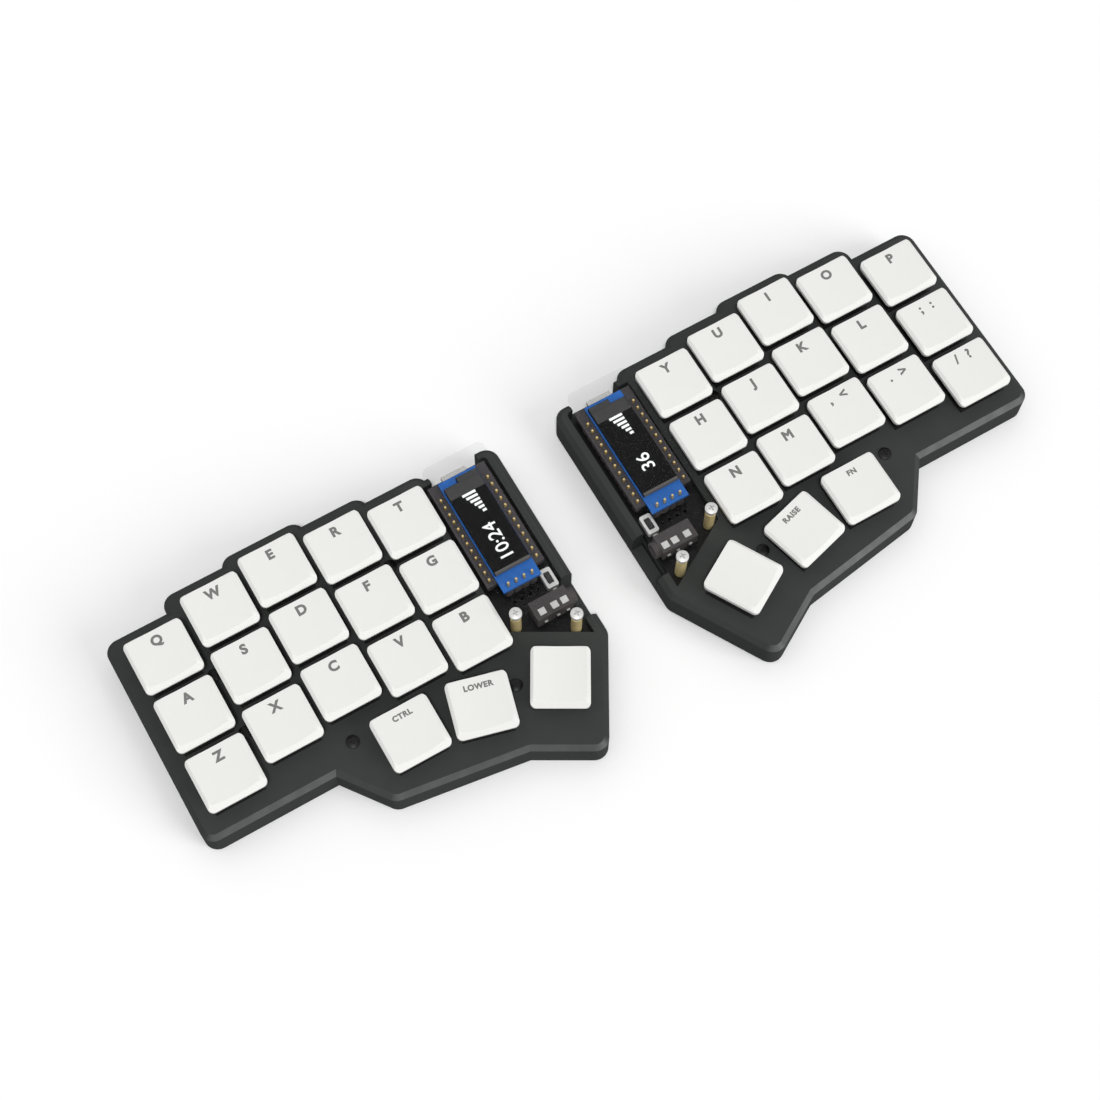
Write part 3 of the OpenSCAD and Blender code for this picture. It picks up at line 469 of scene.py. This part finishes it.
def solids(node):
    """The box and the mesh of each separate solid of a CAD node."""
    form = merged(node)
    for group in islands(form):
        rank = {vert: i for i, vert in enumerate(group)}
        faces = [[rank[vert] for vert in face.verts] for face in form.faces if face.verts[0] in rank]
        mesh = bpy.data.meshes.new(node)
        mesh.from_pydata([vert.co for vert in group], [], faces)
        yield reach(group), mesh
    form.free()


def solid_boxes(node):
    """The box of each separate solid of a CAD node."""
    form = merged(node)
    boxes = [reach(group) for group in islands(form)]
    form.free()
    return boxes


def half_box(node, side):
    """The box of the solids of a CAD node on one half of the keyboard."""
    boxes = [box for box in solid_boxes(node) if middle(box).x * SIDES[side] > 0]
    return (Vector([min(box[0][i] for box in boxes) for i in range(3)]),
            Vector([max(box[1][i] for box in boxes) for i in range(3)]))


def plain_mesh(obj):
    """The mesh of an object with its modifiers applied; the object itself goes."""
    bpy.context.view_layer.update()
    mesh = bpy.data.meshes.new_from_object(obj.evaluated_get(bpy.context.evaluated_depsgraph_get()))
    bpy.data.objects.remove(obj)
    return mesh


def link(name, mesh):
    """An object of a mesh, in the scene."""
    obj = bpy.data.objects.new(name, mesh)
    bpy.context.scene.collection.objects.link(obj)
    return obj


def rounded(name, mesh, edge, segments=3):
    """A mesh with rounded edges and even shading."""
    obj = link(name, mesh)
    bevel = obj.modifiers.new("Edges", "BEVEL")
    bevel.width = edge
    bevel.segments = segments
    bevel.limit_method = "ANGLE"
    bevel.angle_limit = BEVEL_ANGLE
    bevel.loop_slide = False
    return evened(name, plain_mesh(obj))


def evened(name, mesh):
    """A mesh with smooth shading that keeps its sharp edges and flat faces."""
    mesh.polygons.foreach_set("use_smooth", [True] * len(mesh.polygons))
    mesh.set_sharp_from_angle(angle=SHARP_ANGLE)
    obj = link(name, mesh)
    weights = obj.modifiers.new("Shading", "WEIGHTED_NORMAL")
    weights.keep_sharp = True
    return plain_mesh(obj)


def settle(name, mesh, finish, body, slot, *nodes):
    """Puts a finished mesh on its body, in place of the nodes that it stands for."""
    mesh.name = name
    mesh.materials.clear()
    mesh.materials.append(bpy.data.materials[finish])
    piece = link(name, mesh)
    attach(piece, body)
    if nodes:
        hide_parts(*nodes)
    return piece


def to_mesh(name, form):
    """A form turned into a mesh."""
    mesh = bpy.data.meshes.new(name)
    form.to_mesh(mesh)
    form.free()
    return mesh


def softened(name, node, edge, finish, slot, body=ROOT):
    """A CAD node with rounded edges and its own finish."""
    mesh = rounded(name, to_mesh(name, merged(node)), edge)
    return settle(name, mesh, finish, body, slot, node)


def loop(half_w, half_d, radius, straight, turn):
    """Points round a rectangle with round corners, with some steps along each side and corner."""
    points = []
    for corner, (side, end) in enumerate(((1, 1), (-1, 1), (-1, -1), (1, -1))):
        centre = Vector((side * (half_w - radius), end * (half_d - radius)))
        arc = [centre + radius * Vector((math.cos(a), math.sin(a)))
               for a in ((corner + i / turn) * math.pi / 2 for i in range(turn + 1))]
        following = arc[-1].copy()
        if corner % 2:
            following.y = -following.y
        else:
            following.x = -following.x
        points += arc + [arc[-1].lerp(following, i / straight) for i in range(1, straight)]
    return points


def loft(form, rings, first, last):
    """Faces from ring to ring, closed by a point at either end."""
    rows = [[form.verts.new(p) for p in ring] for ring in rings]
    count = len(rows[0])
    for low, high in zip(rows, rows[1:]):
        for i in range(count):
            j = (i + 1) % count
            form.faces.new((low[i], low[j], high[j], high[i]))
    tip = form.verts.new(first)
    for i in range(count):
        form.faces.new((tip, rows[0][(i + 1) % count], rows[0][i]))
    tip = form.verts.new(last)
    for i in range(count):
        form.faces.new((rows[-1][i], rows[-1][(i + 1) % count], tip))


def block(form, low, high, corner):
    """A closed block with round upright corners and eased ends."""
    centre = middle((low, high))
    half = (high - low) / 2
    ease = corner / 2

    def ring(inset, z):
        return [(centre.x + p.x, centre.y + p.y, z)
                for p in loop(half.x - inset, half.y - inset, corner - inset, straight=1, turn=3)]

    loft(form, [ring(ease, low.z), ring(0, low.z + ease), ring(0, high.z - ease), ring(ease, high.z)],
         (centre.x, centre.y, low.z), (centre.x, centre.y, high.z))


def key_turn(node):
    """Turn of a key about the upright axis."""
    for name, degrees in THUMB_TURNS.items():
        if name + "_thumb" in node:
            return math.radians(degrees) * (-1 if node.startswith("left") else 1)
    return 0


def key_place(node):
    """Place and turn of a key, with heights left as they are."""
    centre = middle(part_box(node))
    return Matrix.Translation((centre.x, centre.y, 0)) @ Matrix.Rotation(key_turn(node), 4, "Z")


def soft_least(values, radius):
    """The least of some heights, with the creases between them rounded."""
    total = values[0]
    for value in values[1:]:
        near = max(radius - abs(total - value), 0) / radius
        total = min(total, value) - near * near * radius / 4
    return total


class CapForm:
    """The upper surface of a keycap, in the key's own frame."""

    EASE = 0.1 * MM  # Easing of the lower edge
    RIM = (0, 0.08, 0.25, 0.5, 0.75, 0.93, 1, 1.07)  # Rings over the side bevel, as shares of its run
    CREASE = (-0.32, -0.16, -0.04, 0, 0.04, 0.1)  # Rings round the front crease, in millimetres
    DISH = (0.95, 0.88, 0.78, 0.64, 0.48, 0.32, 0.16)  # Rings in the dish, as shares of the last one

    def __init__(self, sizes, deep=False):
        low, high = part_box(LEFT_KEYS[0])
        self.sizes = sizes
        self.half_w = (high.x - low.x) / 2
        self.half_d = (high.y - low.y) / 2
        if deep:
            self.half_w, self.half_d = self.half_d, self.half_w
        self.top = high.z
        self.bottom = high.z - sizes.cap_height
        self.ceiling = high.z - sizes.dish_depth - sizes.cap_roof
        self.crease_inset = 1.5 * MM  # Inset of the ring that runs along the front crease

    def dish(self, x):
        """Height of the dish."""
        radius = self.sizes.dish_radius
        return self.top - self.sizes.dish_depth + radius - math.sqrt(radius * radius - x * x)

    def height(self, x, y):
        """Height of the surface at a point."""
        s = self.sizes
        side = self.top - s.side_drop + (self.half_w - abs(x)) * s.side_drop / s.side_run
        rear = self.top - s.rear_bevel + self.half_d - y
        front = self.top - s.front_drop + (y + self.half_d) * s.front_drop / s.front_run
        return soft_least([side, rear, front, self.dish(x), self.top], s.crease)

    def ring(self, inset, z=None):
        """Points at an inset from the rim, at one height or on the surface."""
        radius = max(self.sizes.cap_corner - inset, self.EASE)
        flat = loop(self.half_w - inset, self.half_d - inset, radius, straight=10, turn=6)
        if z is not None:
            return [(p.x, p.y, z) for p in flat]
        for p in flat:
            p.y += self.crease_shift(p, inset, radius)
        return [(p.x, p.y, self.height(p.x, p.y)) for p in flat]

    def crease_shift(self, point, inset, radius):
        """How far a point moves so that the rings run along the crease of the front bevel."""
        s = self.sizes
        front = (radius + inset - self.half_d - point.y) / radius
        rise = min(self.dish(point.x), self.top) - self.top + s.front_drop
        return min(max(front, 0), 1) * inset * (s.front_run * rise / s.front_drop / self.crease_inset - 1)

    def mesh(self, name):
        """The whole cap, with its hollow underside and its legs."""
        s = self.sizes
        insets = [i * s.side_run for i in self.RIM]
        insets += [self.crease_inset + i * MM for i in self.CREASE]
        rings = [self.ring(s.cap_wall, self.ceiling), self.ring(s.cap_wall, self.bottom),
                 self.ring(self.EASE, self.bottom), self.ring(0, self.bottom + self.EASE),
                 self.ring(0, self.top - s.front_drop - self.EASE)]
        rings += [self.ring(inset) for inset in insets]
        inner = rings[-1]
        for share in self.DISH:
            rings.append([(x * share, y * share, self.height(x * share, y * share)) for x, y, z in inner])
        form = bmesh.new()
        loft(form, rings, (0, 0, self.ceiling), (0, 0, self.dish(0)))
        for side in (-1, 1):
            x = side * s.leg_spacing / 2
            block(form, Vector((x - s.leg_width / 2, -s.leg_depth / 2, self.ceiling - s.leg_length)),
                  Vector((x + s.leg_width / 2, s.leg_depth / 2, self.ceiling + s.cap_roof / 2)), s.leg_corner)
        return to_mesh(name, form)


class KEYBOARD_OT_keys(bpy.types.Operator):
    """Makes the keycaps and the switch sliders under them"""

    bl_idname = "keyboard.keys"
    bl_label = "Keycaps and sliders"

    def execute(self, context):
        models = [CapForm(context.scene.keyboard_sizes, deep).mesh("cap") for deep in (False, True)]
        for node in key_nodes():
            mesh = models["inner" in node].copy()
            mesh.transform(key_place(node))
            mesh.polygons.foreach_set("use_smooth", [True] * len(mesh.polygons))
            mesh.set_sharp_from_angle(angle=CAP_SHARP_ANGLE)
            settle(node + "_cap", mesh, "cap_plastic", node, "keycap", node)
            form = merged(node)
            groups = sorted(islands(form), key=lambda group: min(v.co.z for v in group))
            bmesh.ops.delete(form, geom=[v for group in groups[1:] for v in group], context="VERTS")
            name = node + "_slider"
            mesh = rounded(name, to_mesh(name, form), context.scene.keyboard_sizes.part_edge, 2)
            settle(name, mesh, "slider_plastic", node, "keycap")
        bpy.data.batch_remove(models)
        return {"FINISHED"}


def key_nodes():
    """The names of all the keys."""
    thumbs = [f"{side}_{place}_thumb_key" for side in SIDES for place in THUMB_TURNS]
    return LEFT_KEYS + RIGHT_KEYS + thumbs


def lettering(words, height, thickness, weight):
    """Words as a closed mesh, centred, of an exact height and made bolder by a weight."""
    scale = (height - 2 * weight) / CAPITAL
    curve = bpy.data.curves.new("words", "FONT")
    curve.body = words
    curve.size = 1
    curve.space_character = 1 + 2 * weight / height  # Bolder letters stand wider apart
    curve.extrude = 0.05  # Any depth, since the thickness is set below
    curve.bevel_depth = weight / scale
    curve.bevel_resolution = 0
    curve.resolution_u = 5
    obj = bpy.data.objects.new("words", curve)
    bpy.context.scene.collection.objects.link(obj)
    mesh = plain_mesh(obj)
    bpy.data.curves.remove(curve)
    form = bmesh.new()
    form.from_mesh(mesh)
    bpy.data.meshes.remove(mesh)
    bmesh.ops.remove_doubles(form, verts=form.verts, dist=WELD)
    bmesh.ops.recalc_face_normals(form, faces=form.faces)
    low, high = reach(form.verts)
    centre = middle((low, high))
    for vert in form.verts:
        vert.co = ((vert.co.x - centre.x) * scale, (vert.co.y - CAPITAL / 2) * scale,
                   math.copysign(thickness, vert.co.z - centre.z))
    return form


class KEYBOARD_OT_legends(bpy.types.Operator):
    """Prints the letters and words on the keycaps"""

    bl_idname = "keyboard.legends"
    bl_label = "Legends"

    def execute(self, context):
        sizes = context.scene.keyboard_sizes
        shape = CapForm(sizes)
        words = {node: LEGENDS.get(node, node[-1].upper()) for node in LEFT_KEYS + RIGHT_KEYS}
        words.update({place + "_thumb_key": word for place, word in THUMB_WORDS.items()})
        for node, word in words.items():
            thumb = "thumb" in node
            height = sizes.word_height if thumb else sizes.letter_height
            weight = sizes.word_weight if thumb else sizes.letter_weight
            if node in LEGENDS:
                weight = sizes.symbol_weight
            form = lettering(word, height, sizes.ink, weight)
            place = sizes.word_place if thumb or node in LEGENDS else sizes.letter_place
            for vert in form.verts:
                vert.co.x += sizes.letter_shift
                vert.co.y += place
                vert.co.z += shape.dish(vert.co.x)
            mesh = to_mesh(node + "_legend", form)
            mesh.transform(key_place(node))
            settle(node + "_legend", mesh, "cap_ink", node, "keycap")
        return {"FINISHED"}


class KEYBOARD_OT_cases(bpy.types.Operator):
    """Eases the edges of the cases and bases and rounds the rubber feet"""

    bl_idname = "keyboard.cases"
    bl_label = "Cases and feet"

    def execute(self, context):
        sizes = context.scene.keyboard_sizes
        for side in SIDES:
            # The cases' front-facing slopes are marked for a painted highlight
            mark_painted_highlight(softened(side + "_case", side + "_top_case", sizes.case_edge, "case_plastic", "case"))
            softened(side + "_base", side + "_bottom_case", sizes.case_edge, "base_plastic", "base")
        softened("feet", "rubber_feet", sizes.foot_edge, "foot_rubber", "feet")
        return {"FINISHED"}


def mark_painted_highlight(piece):
    """Marks the sloping faces of a case that look to the front, where a glossy coat puts a painted highlight.
    """
    steepest, flattest = 0.5, 0.9  # Upward parts of a normal between which a face slopes
    start, rise = 0.35, 0.3  # Forward part at which the mark starts, and how far on it is full
    normals = [face.normal for face in piece.data.polygons]
    marks = piece.data.attributes.new(HIGHLIGHT_MARK, "FLOAT", "FACE")
    marks.data.foreach_set("value", [
        min(max((-n.y - start) / rise, 0), 1) if steepest < n.z < flattest else 0 for n in normals])


class KEYBOARD_OT_switches(bpy.types.Operator):
    """Finishes the switch housings and their springs"""

    bl_idname = "keyboard.switches"
    bl_label = "Switches"

    def execute(self, context):
        softened("housings", "switch_housings", context.scene.keyboard_sizes.part_edge,
                 "housing_plastic", "switch_housing")
        places = {node: middle(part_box(node)).xy for node in key_nodes()}
        for (low, high), mesh in solids("switch_springs"):
            foot = Vector((*middle((low, high)).xy, low.z))
            node = min(places, key=lambda name: (places[name] - foot.xy).length)
            name = node + "_spring"
            spring = settle(name, evened(name, mesh), "spring_steel", ROOT, "spring", "switch_springs")
            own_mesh(spring)
        return {"FINISHED"}


class NodeTree:
    """A geometry node tree that is built by plain calls."""

    def __init__(self, name):
        self.tree = bpy.data.node_groups.new(name, "GeometryNodeTree")
        self.socket("Geometry", "NodeSocketGeometry", "INPUT")
        self.socket("Geometry", "NodeSocketGeometry", "OUTPUT")
        self.entry = self.tree.nodes.new("NodeGroupInput")
        self.exit = self.tree.nodes.new("NodeGroupOutput")

    def socket(self, name, kind, side="INPUT"):
        return self.tree.interface.new_socket(name=name, in_out=side, socket_type=kind)

    def node(self, kind, settings=None, sockets=None, output=0):
        """Adds a node, sets it up, feeds its sockets and returns one of its outputs."""
        added = self.tree.nodes.new(kind)
        for key, value in (settings or {}).items():
            setattr(added, key, value)
        for key, value in (sockets or {}).items():
            for item in value if isinstance(value, list) else [value]:
                if isinstance(item, bpy.types.NodeSocket):
                    self.tree.links.new(item, added.inputs[key])
                else:
                    added.inputs[key].default_value = item
        return added.outputs[output]

    def close(self, instance):
        """Sets the instance on every point, as real faces with their material."""
        placed = self.node("GeometryNodeInstanceOnPoints", None, {
            "Points": self.entry.outputs["Geometry"], "Instance": instance})
        real = self.node("GeometryNodeRealizeInstances", None, {"Geometry": placed})
        done = self.node("GeometryNodeSetMaterial", None, {
            "Geometry": real, "Material": self.entry.outputs["Material"]})
        self.tree.links.new(done, self.exit.inputs["Geometry"])
        return self.tree


def pin_tree():
    """A square pin with a taper at its upper end, standing on every point."""
    tree = NodeTree("Header pins")
    for name in ("Width", "Height", "Taper"):
        tree.socket(name, "NodeSocketFloat")
    tree.socket("Material", "NodeSocketMaterial")
    entry = tree.entry.outputs
    radius = tree.node("ShaderNodeMath", {"operation": "MULTIPLY"}, {0: entry["Width"], 1: math.sqrt(0.5)})
    tip = tree.node("ShaderNodeMath", {"operation": "MULTIPLY"}, {0: radius, 1: PIN_TIP_SHARE})
    straight = tree.node("ShaderNodeMath", {"operation": "SUBTRACT"}, {0: entry["Height"], 1: entry["Taper"]})
    shaft = tree.node("GeometryNodeMeshCone", {"fill_type": "NGON"}, {
        "Vertices": 4, "Radius Top": radius, "Radius Bottom": radius, "Depth": straight})
    point = tree.node("GeometryNodeMeshCone", {"fill_type": "NGON"}, {
        "Vertices": 4, "Radius Top": tip, "Radius Bottom": radius, "Depth": entry["Taper"]})
    lift = tree.node("ShaderNodeCombineXYZ", None, {"Z": straight})
    raised = tree.node("GeometryNodeTransform", None, {"Geometry": point, "Translation": lift})
    whole = tree.node("GeometryNodeJoinGeometry", None, {"Geometry": [shaft, raised]})
    sealed = tree.node("GeometryNodeMergeByDistance", None, {"Geometry": whole, "Distance": 0.001 * MM})
    square = tree.node("GeometryNodeTransform", None, {
        "Geometry": sealed, "Rotation": (0, 0, math.radians(45))})
    return tree.close(square)


def repeated(name, tree, points, **inputs):
    """A plain mesh of a node tree's pattern on some points."""
    mesh = bpy.data.meshes.new(name)
    mesh.from_pydata(points, [], [])
    obj = link(name, mesh)
    pattern = obj.modifiers.new("Pattern", "NODES")
    pattern.node_group = tree
    for item in tree.interface.items_tree:
        if item.name in inputs:
            pattern[item.identifier] = inputs[item.name]
    return plain_mesh(obj)


class KEYBOARD_OT_boards(bpy.types.Operator):
    """Finishes the circuit boards, controllers, headers and pins"""

    bl_idname = "keyboard.boards"
    bl_label = "Boards and pins"

    def execute(self, context):
        sizes = context.scene.keyboard_sizes
        for side in SIDES:
            softened(side + "_board", side + "_circuit_board", sizes.board_edge,
                     "circuit_mask", "circuit_board")
            softened(side + "_controller", side + "_controller_board", sizes.board_edge,
                     "controller_mask", "controller_board")
        softened("headers", "pin_headers", sizes.part_edge, "header_plastic", "header")
        tree = pin_tree()
        gold = bpy.data.materials["pin_gold"]
        boxes = solid_boxes("header_pins")
        form = bmesh.new()
        for tall in sorted({round(box[1].z, 5) for box in boxes}):
            group = [box for box in boxes if round(box[1].z, 5) == tall]
            mesh = repeated("pins", tree, [(*middle(box).xy, box[0].z) for box in group],
                            Width=sizes.pin_width, Height=group[0][1].z - group[0][0].z,
                            Taper=sizes.pin_tip, Material=gold)
            form.from_mesh(mesh)
        bmesh.ops.recalc_face_normals(form, faces=form.faces)
        settle("pins", to_mesh("pins", form), "pin_gold", ROOT, "pins", "header_pins")
        return {"FINISHED"}


class KEYBOARD_OT_displays(bpy.types.Operator):
    """Finishes the displays and draws a plain readout on them"""

    bl_idname = "keyboard.displays"
    bl_label = "Displays"

    def execute(self, context):
        sizes = context.scene.keyboard_sizes
        softened("display_boards_blue", "display_boards", sizes.board_edge, "display_mask", "display_board")
        softened("display_panes", "display_glasses", sizes.board_edge, "pane_glass", "display_glass")
        for side in SIDES:
            low, high = half_box("display_glasses", side)
            under, over = high.z - sizes.film, high.z + sizes.film
            left, right = low.x + sizes.margin_inset, high.x - sizes.margin_inset
            rear = high.y - sizes.margin_rear
            front = low.y + sizes.margin_front
            step = high.y - sizes.notch_depth - sizes.margin_inset
            form = bmesh.new()
            block(form, Vector((left, rear, under)), Vector((right, step, over)), sizes.film_corner)
            tab = [left + sizes.notch_width, right] if side == "left" else [left, right - sizes.notch_width]
            block(form, Vector((tab[0], step - sizes.margin_inset, under)),
                  Vector((tab[1], high.y - sizes.margin_inset, over)), sizes.film_corner)
            edge = bmesh.new()
            block(edge, Vector((left, low.y - sizes.film, low.z + sizes.margin_inset)),
                  Vector((right, front, over)), sizes.film_corner)
            settle(side + "_edge", to_mesh(side + "_edge", edge), "display_edge", ROOT, "display_glass")
            settle(side + "_margins", to_mesh(side + "_margins", form), "display_margin", ROOT,
                   "display_glass")
            centre = Vector(((low.x + high.x) / 2, (front + rear) / 2, high.z))
            settle(side + "_readout", readout(side, centre, sizes), "display_dots", ROOT, "display_glass")
        return {"FINISHED"}


def readout(side, centre, sizes):
    """A plain number and level bars, turned to read along the display."""
    form = lettering(READOUTS[side], sizes.number_height, sizes.dot_height, sizes.number_weight)
    for vert in form.verts:
        vert.co.x -= sizes.number_place
    foot = -sizes.number_height / 2
    for i in range(LEVEL_BARS):
        x = sizes.bar_place + i * sizes.bar_pitch
        tall = sizes.bar_height + i * sizes.bar_step
        block(form, Vector((x, foot, -sizes.dot_height)),
              Vector((x + sizes.bar_width, foot + tall, sizes.dot_height)), sizes.bar_corner)
    mesh = to_mesh(side + "_readout", form)
    mesh.transform(Matrix.Translation(centre) @ Matrix.Rotation(math.radians(90), 4, "Z"))
    return mesh


class KEYBOARD_OT_sockets(bpy.types.Operator):
    """Finishes the sockets, link jacks and reset switches"""

    bl_idname = "keyboard.sockets"
    bl_label = "Sockets and reset switches"

    def execute(self, context):
        sizes = context.scene.keyboard_sizes
        softened("sockets", "usb_sockets", sizes.board_edge, "socket_steel", "usb_metal")
        softened("jacks", "link_jacks", sizes.board_edge, "jack_plastic", "jack")
        softened("reset_frames", "reset_switches", sizes.part_edge, "frame_steel", "reset_frame")
        for side, way in SIDES.items():
            button = side + "_reset_button"
            softened(button + "_cap", button, sizes.metal_edge, "button_plastic", "reset_button", button)
            form = bmesh.new()
            add_contacts(form, half_box("link_jacks", side), way, sizes)
            add_reset_tab(form, half_box("reset_switches", side), sizes)
            settle(side + "_contacts", to_mesh(side + "_contacts", form), "bright_steel", ROOT, "usb_metal")
        return {"FINISHED"}


def add_contacts(form, box, way, sizes):
    """The square contacts on top of a link jack and the soldering tabs at its front."""
    low, high = box
    mouth = high.x if way < 0 else low.x
    y = (low.y + high.y) / 2 - sizes.contact_place
    half = sizes.contact_width / 2
    half_tab = sizes.tab_width / 2
    for place in CONTACT_PLACES:
        x = mouth + way * place
        block(form, Vector((x - half, y - half, high.z - sizes.contact_foot)),
              Vector((x + half, y + half, high.z - sizes.contact_top)), sizes.contact_corner)
        x += sizes.tab_shift
        block(form, Vector((x - half_tab, low.y - sizes.tab_reach, low.z + sizes.tab_foot)),
              Vector((x + half_tab, low.y + sizes.tab_root, low.z + sizes.tab_top)), sizes.tab_corner)


def add_reset_tab(form, box, sizes):
    """The soldering tab at the front of a reset switch."""
    low, high = box
    x = (low.x + high.x) / 2
    half = sizes.tab_width / 2
    block(form, Vector((x - half, low.y - sizes.reset_tab_reach, high.z - sizes.reset_tab_foot)),
          Vector((x + half, low.y + sizes.reset_tab_root, high.z - sizes.reset_tab_top)), sizes.tab_corner)


class KEYBOARD_OT_covers(bpy.types.Operator):
    """Finishes the clear covers, their standoffs and all the screws"""

    bl_idname = "keyboard.covers"
    bl_label = "Covers and screws"

    def execute(self, context):
        sizes = context.scene.keyboard_sizes
        softened("covers", "display_covers", sizes.board_edge, "clear_sheet", "clear_cover")
        softened("brass_standoffs", "standoffs", sizes.metal_edge, "brass", "standoff")
        softened("cover_bolts", "cover_screws", sizes.board_edge, "bright_steel", "cover_screw")
        softened("case_bolts", "case_screws", sizes.metal_edge, "black_steel", "case_screw")
        return {"FINISHED"}


class KEYBOARD_OT_stage(bpy.types.Operator):
    """Sets up the floor, the lights and the camera"""

    bl_idname = "keyboard.stage"
    bl_label = "Stage"

    def execute(self, context):
        scene = context.scene
        scene.view_settings.view_transform = "Standard"
        form = bmesh.new()
        bmesh.ops.create_grid(form, x_segments=1, y_segments=1, size=FLOOR_REACH)
        floor = link("studio_floor", to_mesh("studio_floor", form))
        floor.data.materials.append(floor_finish(scene.keyboard_colours.floor))
        light_world(scene)
        for name, (direction, energy, softness) in LAMPS.items():
            add_sun(name, direction, energy, softness)
        camera = bpy.data.objects.new("camera", bpy.data.cameras.new("camera"))
        camera.data.lens = CAMERA_LENS
        camera.data.clip_end = 20
        forward = Vector(CAMERA_FORWARD).normalized()
        right = forward.cross(Vector(CAMERA_UP)).normalized()
        turn = Matrix((right, right.cross(forward), -forward)).transposed().to_4x4()
        camera.matrix_world = Matrix.Translation(CAMERA_PLACE) @ turn
        scene.collection.objects.link(camera)
        scene.camera = camera
        return {"FINISHED"}


def add_sun(name, direction, energy, softness):
    """A soft lamp far away that shines in one direction."""
    sun = bpy.data.lights.new(name, "SUN")
    sun.energy = energy
    sun.angle = math.radians(softness)
    lamp = bpy.data.objects.new(name, sun)
    lamp.rotation_euler = Vector(direction).to_track_quat("-Z", "Y").to_euler()
    bpy.context.scene.collection.objects.link(lamp)


def floor_finish(base):
    """White floor that keeps the shadow and throws little light back onto the keyboard."""
    finish = Finish("studio_floor")
    camera, glossy, clear_through = [finish.node("ShaderNodeLightPath", output=f"Is {kind} Ray")
                                     for kind in ("Camera", "Glossy", "Transmission")]
    finish.shade(Base_Color=finish.mix(camera + glossy + clear_through, shaded(base, FLOOR_BOUNCE), base),
                 Roughness=0.9, Specular_IOR_Level=0.0)
    return finish.material


def light_world(scene):
    """Even white light from all round."""
    world = bpy.data.worlds.new("studio")
    world.use_nodes = True
    tree = world.node_tree
    back = tree.nodes["Background"]
    back.inputs["Color"].default_value = (1, 1, 1, 1)
    rays = tree.nodes.new("ShaderNodeLightPath")
    seen = rays.outputs["Is Camera Ray"]
    for kind in ("Is Glossy Ray", "Is Transmission Ray"):
        either = tree.nodes.new("ShaderNodeMath")
        either.operation = "MAXIMUM"
        tree.links.new(seen, either.inputs[0])
        tree.links.new(rays.outputs[kind], either.inputs[1])
        seen = either.outputs[0]
    level = tree.nodes.new("ShaderNodeMapRange")
    level.inputs["To Min"].default_value = WORLD_LIGHT
    level.inputs["To Max"].default_value = 1
    tree.links.new(seen, level.inputs["Value"])
    tree.links.new(level.outputs["Result"], back.inputs["Strength"])
    scene.world = world


class KEYBOARD_PT_finish(bpy.types.Panel):
    """Sizes, colours and steps of the keyboard's finish"""

    bl_idname = "KEYBOARD_PT_finish"
    bl_label = "Keyboard"
    bl_space_type = "VIEW_3D"
    bl_region_type = "UI"
    bl_category = "Keyboard"

    def draw(self, context):
        for operator in OPERATORS:
            self.layout.operator(operator.bl_idname)
        for group in (context.scene.keyboard_sizes, context.scene.keyboard_colours):
            column = self.layout.column()
            for name in type(group).__annotations__:
                column.prop(group, name)


OPERATORS = (KEYBOARD_OT_stage, KEYBOARD_OT_keys, KEYBOARD_OT_legends, KEYBOARD_OT_cases,
             KEYBOARD_OT_switches, KEYBOARD_OT_boards, KEYBOARD_OT_displays, KEYBOARD_OT_sockets,
             KEYBOARD_OT_covers)
CLASSES = (KeyboardSizes, KeyboardColours, *OPERATORS, KEYBOARD_PT_finish)


def register():
    """Adds the classes and the scene's settings."""
    for item in CLASSES:
        bpy.utils.register_class(item)
    bpy.types.Scene.keyboard_sizes = bpy.props.PointerProperty(type=KeyboardSizes)
    bpy.types.Scene.keyboard_colours = bpy.props.PointerProperty(type=KeyboardColours)


def unregister():
    """Removes what register added."""
    del bpy.types.Scene.keyboard_colours
    del bpy.types.Scene.keyboard_sizes
    for item in reversed(CLASSES):
        bpy.utils.unregister_class(item)


def main():
    """Dresses the keyboard."""
    register()
    build_finishes(bpy.context.scene.keyboard_colours)
    for operator in OPERATORS:
        group, name = operator.bl_idname.split(".")
        getattr(getattr(bpy.ops, group), name)()


if __name__ == "__main__":
    main()
